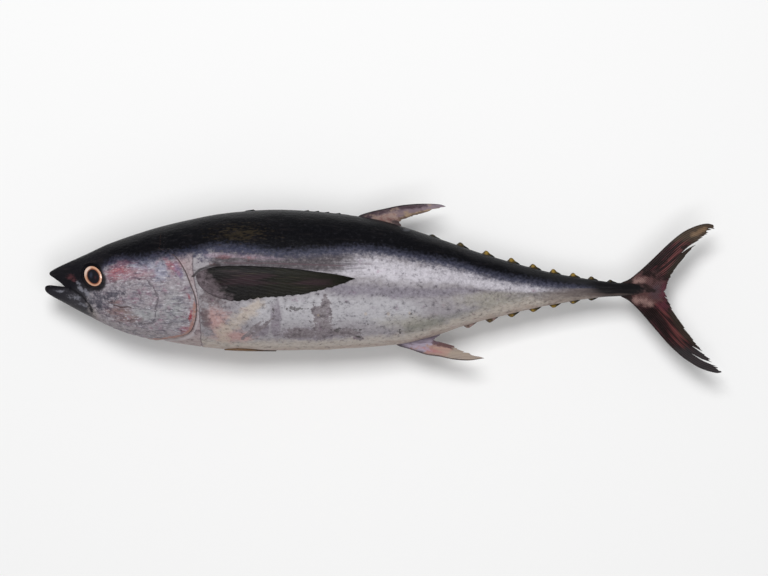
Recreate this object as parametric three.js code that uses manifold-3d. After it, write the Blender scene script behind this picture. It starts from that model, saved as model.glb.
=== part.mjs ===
// A whole raw tuna, one metre long, lying on its right flank. Units are millimetres.
//
// The fish is drawn in its own frame: x runs back from the tip of the lower jaw, y runs from belly to back,
// and side runs from the plane of symmetry out through the left flank. The group at the end lays it down:
// its plane of symmetry is level, at the height BED above the table, and the right flank is pressed flat
// where it rests. The head and trunk are one solid. Each fin, each finlet and each eye is a solid of its
// own.
import * as THREE from "three";
import { mergeVertices } from "three/addons/utils/BufferGeometryUtils.js";
import Module from "manifold-3d";

const wasm = await Module();
wasm.setup();

// ---- Driving dimensions -------------------------------------------------------------------------------

const LENGTH = 1000; // from the lower jaw to the lower tip of the tail
const BED = 69; // the plane of symmetry above the table, 5 less than the greatest half-width
const GAP = 0.35; // clearance between solids that touch
const SECTION = 2.15; // exponent of the trunk's superelliptic section: 2 would be an ellipse

const SNOUT_X = 6.6; // tip of the upper jaw
const CORNER_X = 31; // corner of the mouth
const THROAT = new THREE.Vector3(88, -4, 0); // where the mouth's lining closes
const TRUNK_END = 892; // the trunk's end, inside the root of the tail
const END_ROUNDING = 22; // length over which the trunk's end rounds off

const EYE = { x: 71.5, y: 18.5, radius: 16.5, depth: 9, sunk: 4 };
// The ridge along each side of the tail's stalk.
const KEEL = { x: 812, halfLength: 62, height: 5, sharpness: 26 };

// Stations along the trunk, each [x, value].
const BACK = [
  [SNOUT_X, 22], [8, 24.6], [13.3, 28.2], [25, 34.2], [43, 42.4], [66, 52.8], [90, 64.2], [110, 71.8],
  [140, 82], [170, 91], [214, 101.5], [258, 110], [302, 114.3], [347, 115.8], [391, 113.8],
  [435, 109.8], [465, 106.2], [500, 99.5], [540, 87.5], [578, 74.8], [606, 65.2], [643, 52.4],
  [704, 34.6], [741, 25], [764, 20.2], [792, 15.6], [820, 11.4], [843, 8.6], [875, 7.5], [TRUNK_END, 7],
];
const BELLY = [
  [0, 0], [1.5, -4.4], [7.4, -9.4], [19, -16], [31, -22.3], [43, -29], [66, -41], [90, -53],
  [110.6, -61.5], [125, -66.6], [140, -70.4], [170, -76.4], [199, -81], [243, -87], [288, -90.6],
  [332, -91.4], [376, -91], [420, -90], [465, -87.2], [519, -82.8], [548, -77.2], [577, -69.5],
  [612, -57.4], [642, -48.6], [671, -41.4], [701, -34.2], [730, -27.8], [760, -22], [789, -17],
  [819, -13], [848, -11.4], [875, -10], [TRUNK_END, -9],
];
const HALF_WIDTH = [
  [CORNER_X, 16], [43, 20.5], [66, 30], [90, 39], [110, 46], [140, 55.5], [170, 62.5], [214, 69.5],
  [258, 73], [302, 74], [347, 74], [406, 72], [465, 66.5], [525, 58], [583, 48.5], [642, 38], [700, 28],
  [760, 18.5], [800, 14], [830, 11.5], [855, 9.5], [TRUNK_END, 5],
];
const WIDEST_LINE = [
  [CORNER_X, 2.5], [66, 5], [110, 6], [200, 10], [300, 12], [465, 9.5], [600, 3], [700, 0], [850, -1.5],
  [TRUNK_END, -1.5],
];
const UPPER_LIP = [[SNOUT_X, 22], [8, 19.4], [13.3, 16], [19.2, 12], [25, 8], [CORNER_X, 2.5]];
const LOWER_LIP = [[0, 0], [1.5, 3.4], [7.4, 5], [13.3, 4.2], [19.2, 3.8], [25, 3], [CORNER_X, 2.5]];

// Edges of the blades, each a list of [x, y] from the root, which is inside the trunk, to the tip.
const SECOND_DORSAL = {
  leading: [[456, 96], [463, 106.8], [480, 113], [503, 118.2], [525, 122.7], [548, 125], [570, 125.3],
    [584, 124.2], [592, 121.2]],
  trailing: [[530, 82], [526, 94], [525.5, 99], [537, 104], [548, 107.5], [559, 111.4], [576, 116.5],
    [592, 121.2]],
  thickness: [7, 2],
};
const ANAL = {
  leading: [[510, -70], [519, -83], [540, -90], [562, -97.4], [585, -101], [604, -104.9], [626, -106.3],
    [649, -103]],
  trailing: [[602, -50], [587, -66], [576, -75.5], [587, -79.5], [604, -84.4], [610, -89], [625, -94.5],
    [649, -103]],
  thickness: [7, 2],
};
const TAIL_UPPER = {
  leading: [[836, 0], [852, 9], [863, 14], [877, 25], [892, 38.5], [907, 53], [919, 64.5], [931, 75],
    [943, 83.8], [954, 89.4], [966, 93.8], [978, 96.3], [987, 94]],
  trailing: [[885, -16], [905, -9], [917, -1], [921, 9], [925, 18.5], [931, 29], [937, 39], [943, 46.5],
    [949, 54], [956, 63.5], [965, 73.5], [977, 81.5], [989, 88]],
  thickness: [9, 2],
};
const TAIL_LOWER = {
  leading: [[836, -3], [851, -12], [863, -18.8], [878, -33.4], [892, -49.4], [907, -67], [919, -80.6],
    [931, -92.4], [943, -102.6], [954, -110], [966, -117.2], [980, -122.6], [992, -125.4],
    [LENGTH, -124.2]],
  trailing: [[885, 14], [905, 2], [917, -8], [921, -22], [926, -34], [932, -43], [938, -52],
    [945, -61.5], [953, -73.5], [964, -89], [978, -104], [989, -113.5], [LENGTH, -122.4]],
  thickness: [9, 2],
};
// The folded first dorsal fin: a low crest in a groove along the back.
const FIRST_DORSAL = {
  start: 292, end: 452, rise: 2.2, depth: 12, thickness: 5,
  tipsFrom: 372, tipPitch: 10.5, tipHeight: 1.1,
};
// Pectoral fin: its upper and lower edges on the flank, each [x, y].
const PECTORAL = {
  upper: [[221, 15.5], [227, 22.5], [237, 27.7], [256, 31.8], [293, 33], [331, 31.4], [368, 28.8],
    [406, 24], [434, 20], [459, 14.6]],
  lower: [[221, 15.5], [230, 3], [248, -9], [270, -16.6], [288, -18], [312, -14.2], [341, -11.8],
    [378, -9], [406, -2.6], [434, 5.2], [459, 14.6]],
  thickness: [5, 2],
};
// Pelvic fin, folded back against the belly: its inner and outer edges, each [x, side].
const PELVIC = {
  inner: [[264, 2.5], [272, 1.2], [300, 1.2], [325, 1.8], [343, 4]],
  outer: [[264, 2.5], [270, 13], [284, 19], [305, 17], [326, 10], [343, 4]],
  thickness: [3.6, 1.6],
};
// Finlets: [x of the peak, height, length].
const DORSAL_FINLETS = [
  [572, 3.2, 20], [613, 5.6, 22], [651, 6.2, 22], [688, 6.4, 22], [720, 6.2, 22], [750, 6, 20],
  [779, 5.6, 19], [806, 4.6, 18], [834, 3.6, 17],
];
const ANAL_FINLETS = [
  [624, 5, 22], [656, 5.6, 22], [688, 5.4, 21], [720, 5, 21], [750, 4.8, 20], [779, 4.4, 19],
  [806, 3.4, 18],
];
const FINLET_THICKNESS = 2.4;

// ---- Smooth curves ------------------------------------------------------------------------------------

// A function y(x) through [x, y] points: a cubic between neighbours, whose slope at a point is that of the
// line between the two points beside it.
function curve(points) {
  const last = points.length - 1;
  const slopes = points.map((_, i) => {
    const [x0, y0] = points[Math.max(i - 1, 0)];
    const [x1, y1] = points[Math.min(i + 1, last)];
    return (y1 - y0) / (x1 - x0);
  });
  return (x) => {
    const at = THREE.MathUtils.clamp(x, points[0][0], points[last][0]);
    let i = 0;
    while (i < last - 1 && points[i + 1][0] < at) i += 1;
    const [x0, y0] = points[i];
    const [x1, y1] = points[i + 1];
    const span = x1 - x0;
    const t = (at - x0) / span;
    const s = t - 1;
    const between = (1 + 2 * t) * s * s * y0 + t * t * (3 - 2 * t) * y1;
    return between + t * s * (s * slopes[i] + t * slopes[i + 1]) * span;
  };
}

// The same, with distances from the first point taken as square roots, so that the curve starts as a round
// tip.
function tipCurve(points) {
  const start = points[0][0];
  const inner = curve(points.map(([x, y]) => [Math.sqrt(x - start), y]));
  return (x) => inner(Math.sqrt(Math.max(x - start, 0)));
}

const back = tipCurve(BACK);
const belly = tipCurve(BELLY);
const halfWidth = curve(HALF_WIDTH);
const widestLine = curve(WIDEST_LINE);
const upperLip = tipCurve(UPPER_LIP);
const lowerLip = tipCurve(LOWER_LIP);

// ---- The trunk's surface ------------------------------------------------------------------------------

// Shrinks a section to nothing over the trunk's last stretch, as a quarter ellipse does.
function endFactor(x) {
  const into = THREE.MathUtils.clamp((x - TRUNK_END + END_ROUNDING) / END_ROUNDING, 0, 1);
  return Math.sqrt(1 - into * into);
}

function keelHeight(x) {
  const along = (x - KEEL.x) / KEEL.halfLength;
  return Math.abs(along) < 1 ? KEEL.height * (1 - along * along) ** 2 : 0;
}

// A point on the outer skin. around runs from 0 at the back to pi at the belly, and flank is 1 on the left
// and -1 on the right. Ahead of the corner of the mouth, each jaw's section is an arch that ends at its
// lip.
function skinPoint(x, around, flank, grow = 0) {
  const upper = around <= Math.PI / 2;
  const tip = upper ? SNOUT_X : 0;
  const inJaw = x < CORNER_X;
  const share = inJaw ? Math.max(x - tip, 0) / (CORNER_X - tip) : 1;
  const fromRidge = upper ? around : Math.PI - around;
  const angle = Math.min(fromRidge / Math.max(Math.sqrt(share), 1e-9), Math.PI / 2);
  const lip = upper ? upperLip(x) : lowerLip(x);
  const base = inJaw ? lip : widestLine(x);
  const ridge = upper ? back(x) + grow : belly(x) - grow;
  const width = (inJaw ? halfWidth(CORNER_X) * share ** 0.55 : halfWidth(x)) + grow;
  const end = endFactor(x - grow);
  const rise = Math.max(Math.cos(angle), 0) ** (2 / SECTION);
  const spread = Math.max(Math.sin(angle), 0) ** (2 / SECTION);
  const keel = keelHeight(x) * Math.sin(angle) ** KEEL.sharpness;
  const side = Math.min(width * spread * end + keel, flank < 0 ? BED + grow : Infinity);
  return new THREE.Vector3(x, base + (ridge - base) * rise * end, flank * side);
}

// The trunk's half-width at a height, and its belly's height at a distance from the middle.
function flankAt(x, y) {
  const reach = y > widestLine(x) ? back(x) - widestLine(x) : widestLine(x) - belly(x);
  const up = Math.min(Math.abs(y - widestLine(x)) / reach, 1);
  return halfWidth(x) * (1 - up ** SECTION) ** (1 / SECTION);
}
function bellyAt(x, side) {
  const out = Math.min(Math.abs(side) / halfWidth(x), 1);
  return widestLine(x) - (widestLine(x) - belly(x)) * (1 - out ** SECTION) ** (1 / SECTION);
}

// ---- Closed surfaces and solids -----------------------------------------------------------------------

// A closed surface from rings of points, with each end closed to a pole.
function skinRings(rings, firstPole, lastPole) {
  const around = rings[0].length;
  const points = [...rings.flat(), firstPole, lastPole];
  const index = [];
  const at = (ring, i) => ring * around + (i % around);
  const last = rings.length - 1;
  for (let i = 0; i < around; i += 1) {
    index.push(points.length - 2, at(0, i + 1), at(0, i));
    index.push(points.length - 1, at(last, i), at(last, i + 1));
    for (let ring = 0; ring < last; ring += 1) {
      index.push(at(ring, i), at(ring, i + 1), at(ring + 1, i + 1));
      index.push(at(ring, i), at(ring + 1, i + 1), at(ring + 1, i));
    }
  }
  const geometry = new THREE.BufferGeometry().setFromPoints(points);
  geometry.setIndex(index);
  return facingOut(geometry);
}

// Turns every face round if the surface encloses a negative volume.
function facingOut(geometry) {
  const p = geometry.attributes.position;
  const index = geometry.index.array;
  const [a, b, c] = [new THREE.Vector3(), new THREE.Vector3(), new THREE.Vector3()];
  let volume = 0;
  for (let i = 0; i < index.length; i += 3) {
    a.fromBufferAttribute(p, index[i]);
    b.fromBufferAttribute(p, index[i + 1]);
    c.fromBufferAttribute(p, index[i + 2]);
    volume += a.dot(b.cross(c));
  }
  if (volume < 0) {
    for (let i = 0; i < index.length; i += 3) [index[i], index[i + 1]] = [index[i + 1], index[i]];
  }
  return geometry;
}

function toSolid(geometry) {
  const bare = geometry.clone();
  bare.deleteAttribute("normal");
  bare.deleteAttribute("uv");
  const merged = mergeVertices(bare, 1e-4);
  return new wasm.Manifold(new wasm.Mesh({
    numProp: 3,
    vertProperties: new Float32Array(merged.attributes.position.array),
    triVerts: new Uint32Array(merged.index.array),
  }));
}

function toGeometry(solid) {
  const mesh = solid.getMesh();
  const geometry = new THREE.BufferGeometry();
  geometry.setAttribute("position", new THREE.BufferAttribute(new Float32Array(mesh.vertProperties), 3));
  geometry.setIndex(new THREE.BufferAttribute(new Uint32Array(mesh.triVerts), 1));
  geometry.computeVertexNormals();
  return geometry;
}

// ---- Head and trunk -----------------------------------------------------------------------------------

const TRUNK_AROUND = 36;
const TRUNK_RINGS = 46;
const MOUTH_RINGS = 4;

// Where a meridian starts on the lips.
function lipX(around) {
  const upper = around <= Math.PI / 2;
  const tip = upper ? SNOUT_X : 0;
  const share = (upper ? around : Math.PI - around) / (Math.PI / 2);
  return tip + (CORNER_X - tip) * share * share;
}

function trunkGeometry(grow) {
  const meridians = Array.from({ length: TRUNK_AROUND }, (_, i) => {
    const turn = (2 * Math.PI * i) / TRUNK_AROUND;
    return turn <= Math.PI ? { around: turn, flank: 1 } : { around: 2 * Math.PI - turn, flank: -1 };
  });
  const lips = meridians.map(({ around, flank }) => skinPoint(lipX(around) + 0.05, around, flank, grow));
  const rings = [];
  for (let i = MOUTH_RINGS - 1; i > 0; i -= 1) {
    rings.push(lips.map((lip) => lip.clone().lerp(THROAT, (i / MOUTH_RINGS) ** 1.3)));
  }
  for (let i = 0; i <= TRUNK_RINGS; i += 1) {
    const share = Math.min(i / TRUNK_RINGS, 0.998) ** 1.45;
    rings.push(meridians.map(({ around, flank }) => {
      const start = lipX(around) + 0.05;
      return skinPoint(start + (TRUNK_END + grow - start) * share, around, flank, grow);
    }));
  }
  return skinRings(rings, THROAT, new THREE.Vector3(TRUNK_END + grow, widestLine(TRUNK_END), 0));
}

const grownTrunk = toSolid(trunkGeometry(GAP));

// ---- Blades -------------------------------------------------------------------------------------------

const BLADE_AROUND = 8;

// Twice as fine at the tip as at the root.
const spread = (count) => Array.from({ length: count }, (_, i) => ((i / count) * (3 - i / count)) / 2);

// Rings of a lens section. place(share, chord, bulge) gives a point: share runs from root to tip, chord
// from one edge to the other, and bulge from -1 on one face to 1 on the other.
function bladeRings(stations, place) {
  return stations.map((share) => Array.from({ length: BLADE_AROUND }, (_, i) => {
    const turn = (2 * Math.PI * i) / BLADE_AROUND;
    return place(share, (1 - Math.cos(turn)) / 2, Math.sin(turn));
  }));
}

const middle = (ring) => ring.reduce((sum, p) => sum.add(p), new THREE.Vector3()).divideScalar(ring.length);

function thicknessAt([root, tip], share) {
  return root + (tip - root) * share;
}

// A blade in the plane of symmetry, between two edges.
function medianBlade({ leading, trailing, thickness }, count) {
  const [front, rear] = [leading, trailing].map(
    (edge) => new THREE.SplineCurve(edge.map(([x, y]) => new THREE.Vector2(x, y))),
  );
  const rings = bladeRings(spread(count), (share, chord, bulge) => {
    const p = front.getPoint(share).lerp(rear.getPoint(share), chord);
    return new THREE.Vector3(p.x, p.y, (bulge * thicknessAt(thickness, share)) / 2);
  });
  const end = front.getPoint(1).lerp(rear.getPoint(1), 0.5);
  return toSolid(skinRings(rings, middle(rings[0]), new THREE.Vector3(end.x, end.y, 0)));
}

const rooted = (solid) => toGeometry(solid.subtract(grownTrunk));

// A finlet: a low triangle that leans back, on the back's edge (rise 1) or the belly's (rise -1).
function finletGeometry([x, height, length], edge, rise) {
  const root = 3;
  const foot = (at, up) => [at, edge(at) + rise * up];
  return rooted(medianBlade({
    leading: [foot(x - 0.38 * length, -root), foot(x - 0.2 * length, 0.6 * height), foot(x, height)],
    trailing: [foot(x + 0.5 * length, -root), foot(x + 0.42 * length, 0.35 * height), foot(x, height)],
    thickness: [FINLET_THICKNESS, 1],
  }, 4));
}

// The pectoral fin follows the flank. On the right it is pressed between the flank and the table, so its
// outer face is flat there, and the trunk has a hollow that is cut by the same fin made a little larger.
function pectoralGeometry(flank) {
  const [upper, lower] = [PECTORAL.upper, PECTORAL.lower].map((edge) => curve(edge));
  const [start, end] = [PECTORAL.upper[0][0], PECTORAL.upper.at(-1)[0]];
  const stations = Array.from({ length: 15 }, (_, i) => 0.01 + (0.98 * i) / 14);
  const rings = bladeRings(stations, (share, chord, bulge) => {
    const x = start + (end - start) * share;
    const y = upper(x) + (lower(x) - upper(x)) * chord;
    const thickness = thicknessAt(PECTORAL.thickness, share);
    const skin = flankAt(x, y) + GAP;
    const proud = skin + (thickness * (1 + bulge)) / 2;
    if (flank > 0) return new THREE.Vector3(x, y, proud);
    const pressed = bulge > 0 ? BED : BED + thickness * Math.min(bulge, 0);
    return new THREE.Vector3(x, y, -Math.min(proud, pressed));
  });
  return skinRings(rings, middle(rings[0]), middle(rings.at(-1)));
}

// The hollow for the right pectoral fin: the fin itself, joined with copies moved a little every way.
function pectoralHollow() {
  const shift = 1.2 * GAP;
  const ways = [
    [shift, 0, 0], [-shift, 0, 0], [0, shift, 0], [0, -shift, 0], [0, 0, shift], [0, 0, -shift],
  ];
  const copies = ways.map((way) => toSolid(pectoralGeometry(-1).translate(...way)));
  return copies.reduce((joined, copy) => joined.add(copy));
}

function pelvicGeometry(flank) {
  const [inner, outer] = [PELVIC.inner, PELVIC.outer].map((edge) => curve(edge));
  const [start, end] = [PELVIC.inner[0][0], PELVIC.inner.at(-1)[0]];
  const stations = Array.from({ length: 10 }, (_, i) => 0.02 + (0.96 * i) / 9);
  const rings = bladeRings(stations, (share, chord, bulge) => {
    const x = start + (end - start) * share;
    const side = inner(x) + (outer(x) - inner(x)) * chord;
    const lift = GAP + (thicknessAt(PELVIC.thickness, share) * (1 + bulge)) / 2;
    return new THREE.Vector3(x, bellyAt(x, side) - lift, flank * side);
  });
  return skinRings(rings, middle(rings[0]), middle(rings.at(-1)));
}

// The folded first dorsal fin, grown by the clearance for its groove. Its crest has the tips of the spines
// in it.
function firstDorsalSolid(grow) {
  const { start, end, rise, depth, thickness, tipsFrom, tipPitch, tipHeight } = FIRST_DORSAL;
  const half = thickness / 2 + grow;
  const [from, to] = [start - grow, end + grow];
  const stations = Array.from({ length: 29 }, (_, i) => i / 28);
  const rings = stations.map((share) => {
    const x = from + (to - from) * share;
    const taper = Math.sin(Math.PI * THREE.MathUtils.clamp(share, 0.02, 0.98)) ** 0.3;
    const tip = x > tipsFrom ? tipHeight * Math.abs(Math.sin((Math.PI * (x - tipsFrom)) / tipPitch)) : 0;
    const crest = back(x) + rise * taper + tip + grow;
    const foot = back(x) - depth - grow;
    return [
      [crest, 0.2], [crest - 1, 0.9], [foot + 2, 0.9], [foot, 0.3], [foot, -0.3], [foot + 2, -0.9],
      [crest - 1, -0.9], [crest, -0.2],
    ].map(([y, out]) => new THREE.Vector3(x, y, out * half * taper));
  });
  return toSolid(skinRings(rings, middle(rings[0]), middle(rings.at(-1))));
}

// ---- Eyes ---------------------------------------------------------------------------------------------

// A flattened ball set into the head, facing along the skin's normal.
function placeEye(mesh, flank) {
  const here = new THREE.Vector3(EYE.x, EYE.y, flank * flankAt(EYE.x, EYE.y));
  const ahead = new THREE.Vector3(EYE.x + 8, EYE.y, flank * flankAt(EYE.x + 8, EYE.y)).sub(here);
  const above = new THREE.Vector3(EYE.x, EYE.y + 8, flank * flankAt(EYE.x, EYE.y + 8)).sub(here);
  const normal = ahead.cross(above).normalize();
  if (normal.z * flank < 0) normal.negate();
  mesh.quaternion.setFromUnitVectors(new THREE.Vector3(0, 0, 1), normal);
  mesh.position.copy(here).addScaledVector(normal, -EYE.sunk);
  mesh.updateMatrix();
  return mesh;
}

const eyeBall = (grow) => new THREE.SphereGeometry(1, 20, 12)
  .scale(EYE.radius + grow, EYE.radius + grow, EYE.depth + grow);

// ---- Materials ----------------------------------------------------------------------------------------

function finish(color, roughness, metalness = 0) {
  return new THREE.MeshStandardMaterial({ color, roughness, metalness });
}
const skinFinish = finish("#7d7b84", 0.35, 0.35);
const eyeFinish = finish("#c99a7c", 0.12);
const finFinish = finish("#5a4744", 0.55);
const pectoralFinish = finish("#26221f", 0.55);
const finletFinish = finish("#b8921f", 0.5);

// ---- The fish -----------------------------------------------------------------------------------------

const fish = new THREE.Group();
const add = (name, geometry, material) => {
  const mesh = new THREE.Mesh(geometry, material);
  mesh.name = name;
  fish.add(mesh);
  return mesh;
};

let trunk = toSolid(trunkGeometry(0)).subtract(pectoralHollow()).subtract(firstDorsalSolid(GAP));
for (const [name, flank] of [["left", 1], ["right", -1]]) {
  const socket = placeEye(new THREE.Mesh(eyeBall(GAP)), flank);
  trunk = trunk.subtract(toSolid(socket.geometry.applyMatrix4(socket.matrix)));
  placeEye(add(`eye_${name}`, eyeBall(0), eyeFinish), flank);
  add(`pectoral_fin_${name}`, pectoralGeometry(flank), pectoralFinish);
  add(`pelvic_fin_${name}`, pelvicGeometry(flank), finFinish);
}
add("body", toGeometry(trunk), skinFinish);
add("first_dorsal_fin", toGeometry(firstDorsalSolid(0)), finFinish);
add("second_dorsal_fin", rooted(medianBlade(SECOND_DORSAL, 12)), finFinish);
add("anal_fin", rooted(medianBlade(ANAL, 12)), finFinish);
add("caudal_fin", rooted(medianBlade(TAIL_UPPER, 16).add(medianBlade(TAIL_LOWER, 16))), finFinish);
DORSAL_FINLETS.forEach((finlet, i) => {
  add(`dorsal_finlet_${i + 1}`, finletGeometry(finlet, back, 1), finletFinish);
});
ANAL_FINLETS.forEach((finlet, i) => {
  add(`anal_finlet_${i + 1}`, finletGeometry(finlet, belly, -1), finletFinish);
});

// The origin is on the table, under the middle of the fish's length and height.
const box = new THREE.Box3().setFromObject(fish);
fish.position.set(-(box.min.x + box.max.x) / 2, -(box.min.y + box.max.y) / 2, BED);

export default fish;
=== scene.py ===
from functools import partial

import bpy
import numpy as np
from bpy.props import FloatProperty, FloatVectorProperty, IntProperty, PointerProperty
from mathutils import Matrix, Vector


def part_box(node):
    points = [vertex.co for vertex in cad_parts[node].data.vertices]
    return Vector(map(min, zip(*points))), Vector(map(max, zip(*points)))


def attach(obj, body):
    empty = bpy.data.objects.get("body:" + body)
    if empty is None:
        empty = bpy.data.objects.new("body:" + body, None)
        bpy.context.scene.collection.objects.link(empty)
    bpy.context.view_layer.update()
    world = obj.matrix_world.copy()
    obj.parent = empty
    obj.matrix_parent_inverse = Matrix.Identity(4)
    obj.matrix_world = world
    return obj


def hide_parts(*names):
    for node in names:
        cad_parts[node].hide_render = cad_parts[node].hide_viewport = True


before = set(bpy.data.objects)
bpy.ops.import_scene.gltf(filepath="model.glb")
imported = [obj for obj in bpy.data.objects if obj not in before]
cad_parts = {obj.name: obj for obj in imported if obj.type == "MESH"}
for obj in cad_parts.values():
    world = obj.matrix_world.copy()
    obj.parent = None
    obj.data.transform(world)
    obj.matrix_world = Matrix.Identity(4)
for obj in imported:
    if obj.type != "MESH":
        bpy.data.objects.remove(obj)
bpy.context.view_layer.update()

bl_info = {
    "name": "Whole raw tuna",
    "version": (1, 0, 0),
    "blender": (4, 5, 0),
    "location": "3D View > Sidebar > Tuna",
    "description": "Builds a whole raw tuna, its fins, its eyes and a pale table",
    "category": "Mesh",
}

MM = 0.001
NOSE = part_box("body")[0][0]
BED = (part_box("caudal_fin")[0][2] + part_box("caudal_fin")[1][2]) / 2  # height of the plane of symmetry
BED_MM = BED / MM
TRUNK_END = (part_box("body")[1][0] - NOSE) / MM

# ---- The trunk's measures ----------------------------------------------------------------------------------

SNOUT_X = 6.6
CORNER_X = 31  # corner of the mouth
THROAT = (88, -4, 0)  # where the mouth's lining closes
SECTION = 2.15  # exponent of the superelliptic section
END_ROUNDING = 22  # length over which the stalk's end rounds off inside the tail
KEEL = {"x": 812, "half_length": 62, "height": 5, "sharpness": 26}

BACK = [
    (SNOUT_X, 22), (8, 24.6), (13.3, 28.2), (25, 34.2), (43, 42.4), (66, 52.8), (90, 64.2), (110, 71.8),
    (140, 82), (170, 91), (214, 101.5), (258, 110), (302, 114.3), (347, 115.8), (391, 113.8), (435, 109.8),
    (465, 106.2), (500, 99.5), (540, 87.5), (578, 74.8), (606, 65.2), (643, 52.4), (704, 34.6), (741, 25),
    (764, 20.2), (792, 15.6), (820, 11.4), (843, 8.6), (875, 7.5), (TRUNK_END, 7),
]
BELLY = [
    (0, 0), (1.5, -4.4), (7.4, -9.4), (19, -16), (31, -22.3), (43, -29), (66, -41), (90, -53),
    (110.6, -61.5), (125, -66.6), (140, -70.4), (170, -76.4), (199, -81), (243, -87), (288, -90.6),
    (332, -91.4), (376, -91), (420, -90), (465, -87.2), (519, -82.8), (548, -77.2), (577, -69.5),
    (612, -57.4), (642, -48.6), (671, -41.4), (701, -34.2), (730, -27.8), (760, -22), (789, -17),
    (819, -13), (848, -11.4), (875, -10), (TRUNK_END, -9),
]
HALF_WIDTH = [
    (CORNER_X, 16), (43, 20.5), (66, 30), (90, 39), (110, 46), (140, 55.5), (170, 62.5), (214, 69.5),
    (258, 73), (302, 74), (347, 74), (406, 72), (465, 66.5), (525, 58), (583, 48.5), (642, 38), (700, 28),
    (760, 18.5), (800, 14), (830, 11.5), (855, 9.5), (TRUNK_END, 5),
]
WIDEST_LINE = [
    (CORNER_X, 2.5), (66, 5), (110, 6), (200, 10), (300, 12), (465, 9.5), (600, 3), (700, 0), (850, -1.5),
    (TRUNK_END, -1.5),
]
UPPER_LIP = [(SNOUT_X, 22), (8, 19.4), (13.3, 16), (19.2, 12), (25, 8), (CORNER_X, 2.5)]
LOWER_LIP = [(0, 0), (1.5, 3.4), (7.4, 5), (13.3, 4.2), (19.2, 3.8), (25, 3), (CORNER_X, 2.5)]

# ---- Features on the head and flank ------------------------------------------------------------------------

EYE = {"x": 74, "y": 18.2, "half_width": 14.1, "half_height": 15.8, "lean": 0.2}
NOSTRIL = (40, 16.2)
# How far below the back's edge the dark of the back reaches, along the fish.
DARK_DEPTH = [
    (0, 60), (60, 38), (108, 32), (140, 42), (170, 46), (199, 50), (229, 51), (258, 51), (303, 58), (347, 65),
    (391, 62), (436, 55), (480, 48.5), (524, 43.5), (570, 37), (613, 31), (657, 29.5), (702, 25), (746, 20),
    (790, 17), (880, 16),
]
# How far below the dark of the back the bright band's middle lies.
SILVER_DEPTH = [(300, 26), (480, 25), (524, 24), (613, 15), (702, 9.5), (746, 6), (800, 4)]
# How bright that band is along the fish, as a share.
SILVER_BAND = [(250, 0), (330, 0.25), (420, 0.45), (480, 0.9), (540, 1), (690, 1), (750, 0.75), (800, 0.1)]
# Lines that cross the flank, as (y, x): the gill cover's rear edge and the shoulder behind it.
GILL_EDGE = [
    (-84, 122), (-78, 154), (-74, 182), (-71, 200), (-66, 215), (-52, 224.5), (-33, 228), (-14.6, 227),
    (6, 219.5), (25, 211.8), (43.6, 200), (53, 189), (60, 176),
]
SHOULDER = [(-82, 233), (-24, 231.5), (23, 223.5), (51, 223), (62, 228)]
# Creases on the head, as (x, y): the edge and a fold of the gill plate, then the jaw's fold and bone.
CHEEK_EDGE = [
    (151, 14), (156, 10), (163, 4.1), (171, -9), (170.5, -18.5), (166.5, -34.7), (166, -46), (161, -51),
    (151.7, -52.4), (132, -53.3),
]
CHEEK_CREASE = [(100, -24), (108, -25.5), (117, -27.6), (126, -27), (138, -30.5)]
JAW_FOLD = [(32, 2.6), (44, -2.5), (56, -10), (66, -22), (72, -32), (70, -40)]
MAXILLA = [(38, 4), (50, -1), (60, -8), (68, -18)]
HUMP = (534, 85.4)  # a low hump behind the second dorsal fin
LATERAL_LINE = [(228, 40), (275, 37), (331, 36.5), (406, 34.3), (463, 31.5), (560, 24), (700, 8)]

# ---- The fins' measures, each edge from the root to the tip, as (x, y) -------------------------------------

SECOND_DORSAL = {
    "leading": [(456, 96), (463, 106.8), (480, 113), (503, 118.2), (525, 122.7), (548, 124.9), (570, 125.1),
                (584, 123.9), (592, 121.2)],
    "trailing": [(530, 82), (526, 94), (525.5, 99), (537, 104), (548, 107.5), (559, 111.4), (576, 116.5),
                 (592, 121.2)],
}
ANAL = {
    "leading": [(510, -70), (519, -83), (540, -90), (562, -97.4), (585, -101), (604, -104.9), (626, -106.3),
                (649, -103)],
    "trailing": [(602, -50), (587, -66), (576, -75.5), (587, -79.5), (604, -84.4), (610, -89), (625, -94.5),
                 (649, -103)],
}
TAIL_UPPER = {
    "leading": [(836, 0), (852, 9), (863, 14), (877, 25), (892, 38.5), (907, 53), (919, 64.5), (931, 75),
                (943, 83.8), (954, 89.4), (966, 93.8), (978, 95.9), (987, 94)],
    "trailing": [(885, -16), (905, -9), (917, -1), (921, 9), (925, 18.5), (931, 29), (938, 38.5),
                 (946, 48), (955, 58), (965, 68), (974, 77), (982, 82.5), (989, 88)],
}
TAIL_LOWER = {
    "leading": [(836, -3), (851, -12), (863, -18.8), (878, -33.4), (892, -49.4), (907, -67), (919, -80.6),
                (931, -92.4), (943, -102.6), (954, -110), (966, -117), (980, -122.2), (992, -124.9),
                (999, -123.9)],
    "trailing": [(885, 14), (905, 2), (917, -8), (922, -20), (928, -33), (936, -46), (944, -57),
                 (953, -69), (962, -80), (972, -92), (982, -103), (992, -114), (999, -122.4)],
}
PECTORAL = {
    "upper": [(224, 15.5), (230, 22.5), (240, 27.7), (258, 31.8), (293, 33), (331, 31.4), (368, 28.8),
              (406, 24), (434, 20), (459, 14.6)],
    "lower": [(224, 15.5), (233, 3), (250, -9), (272, -16.6), (290, -18), (312, -14.2), (341, -11.8),
              (378, -9), (406, -2.6), (434, 5.2), (459, 14.6)],
}
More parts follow.
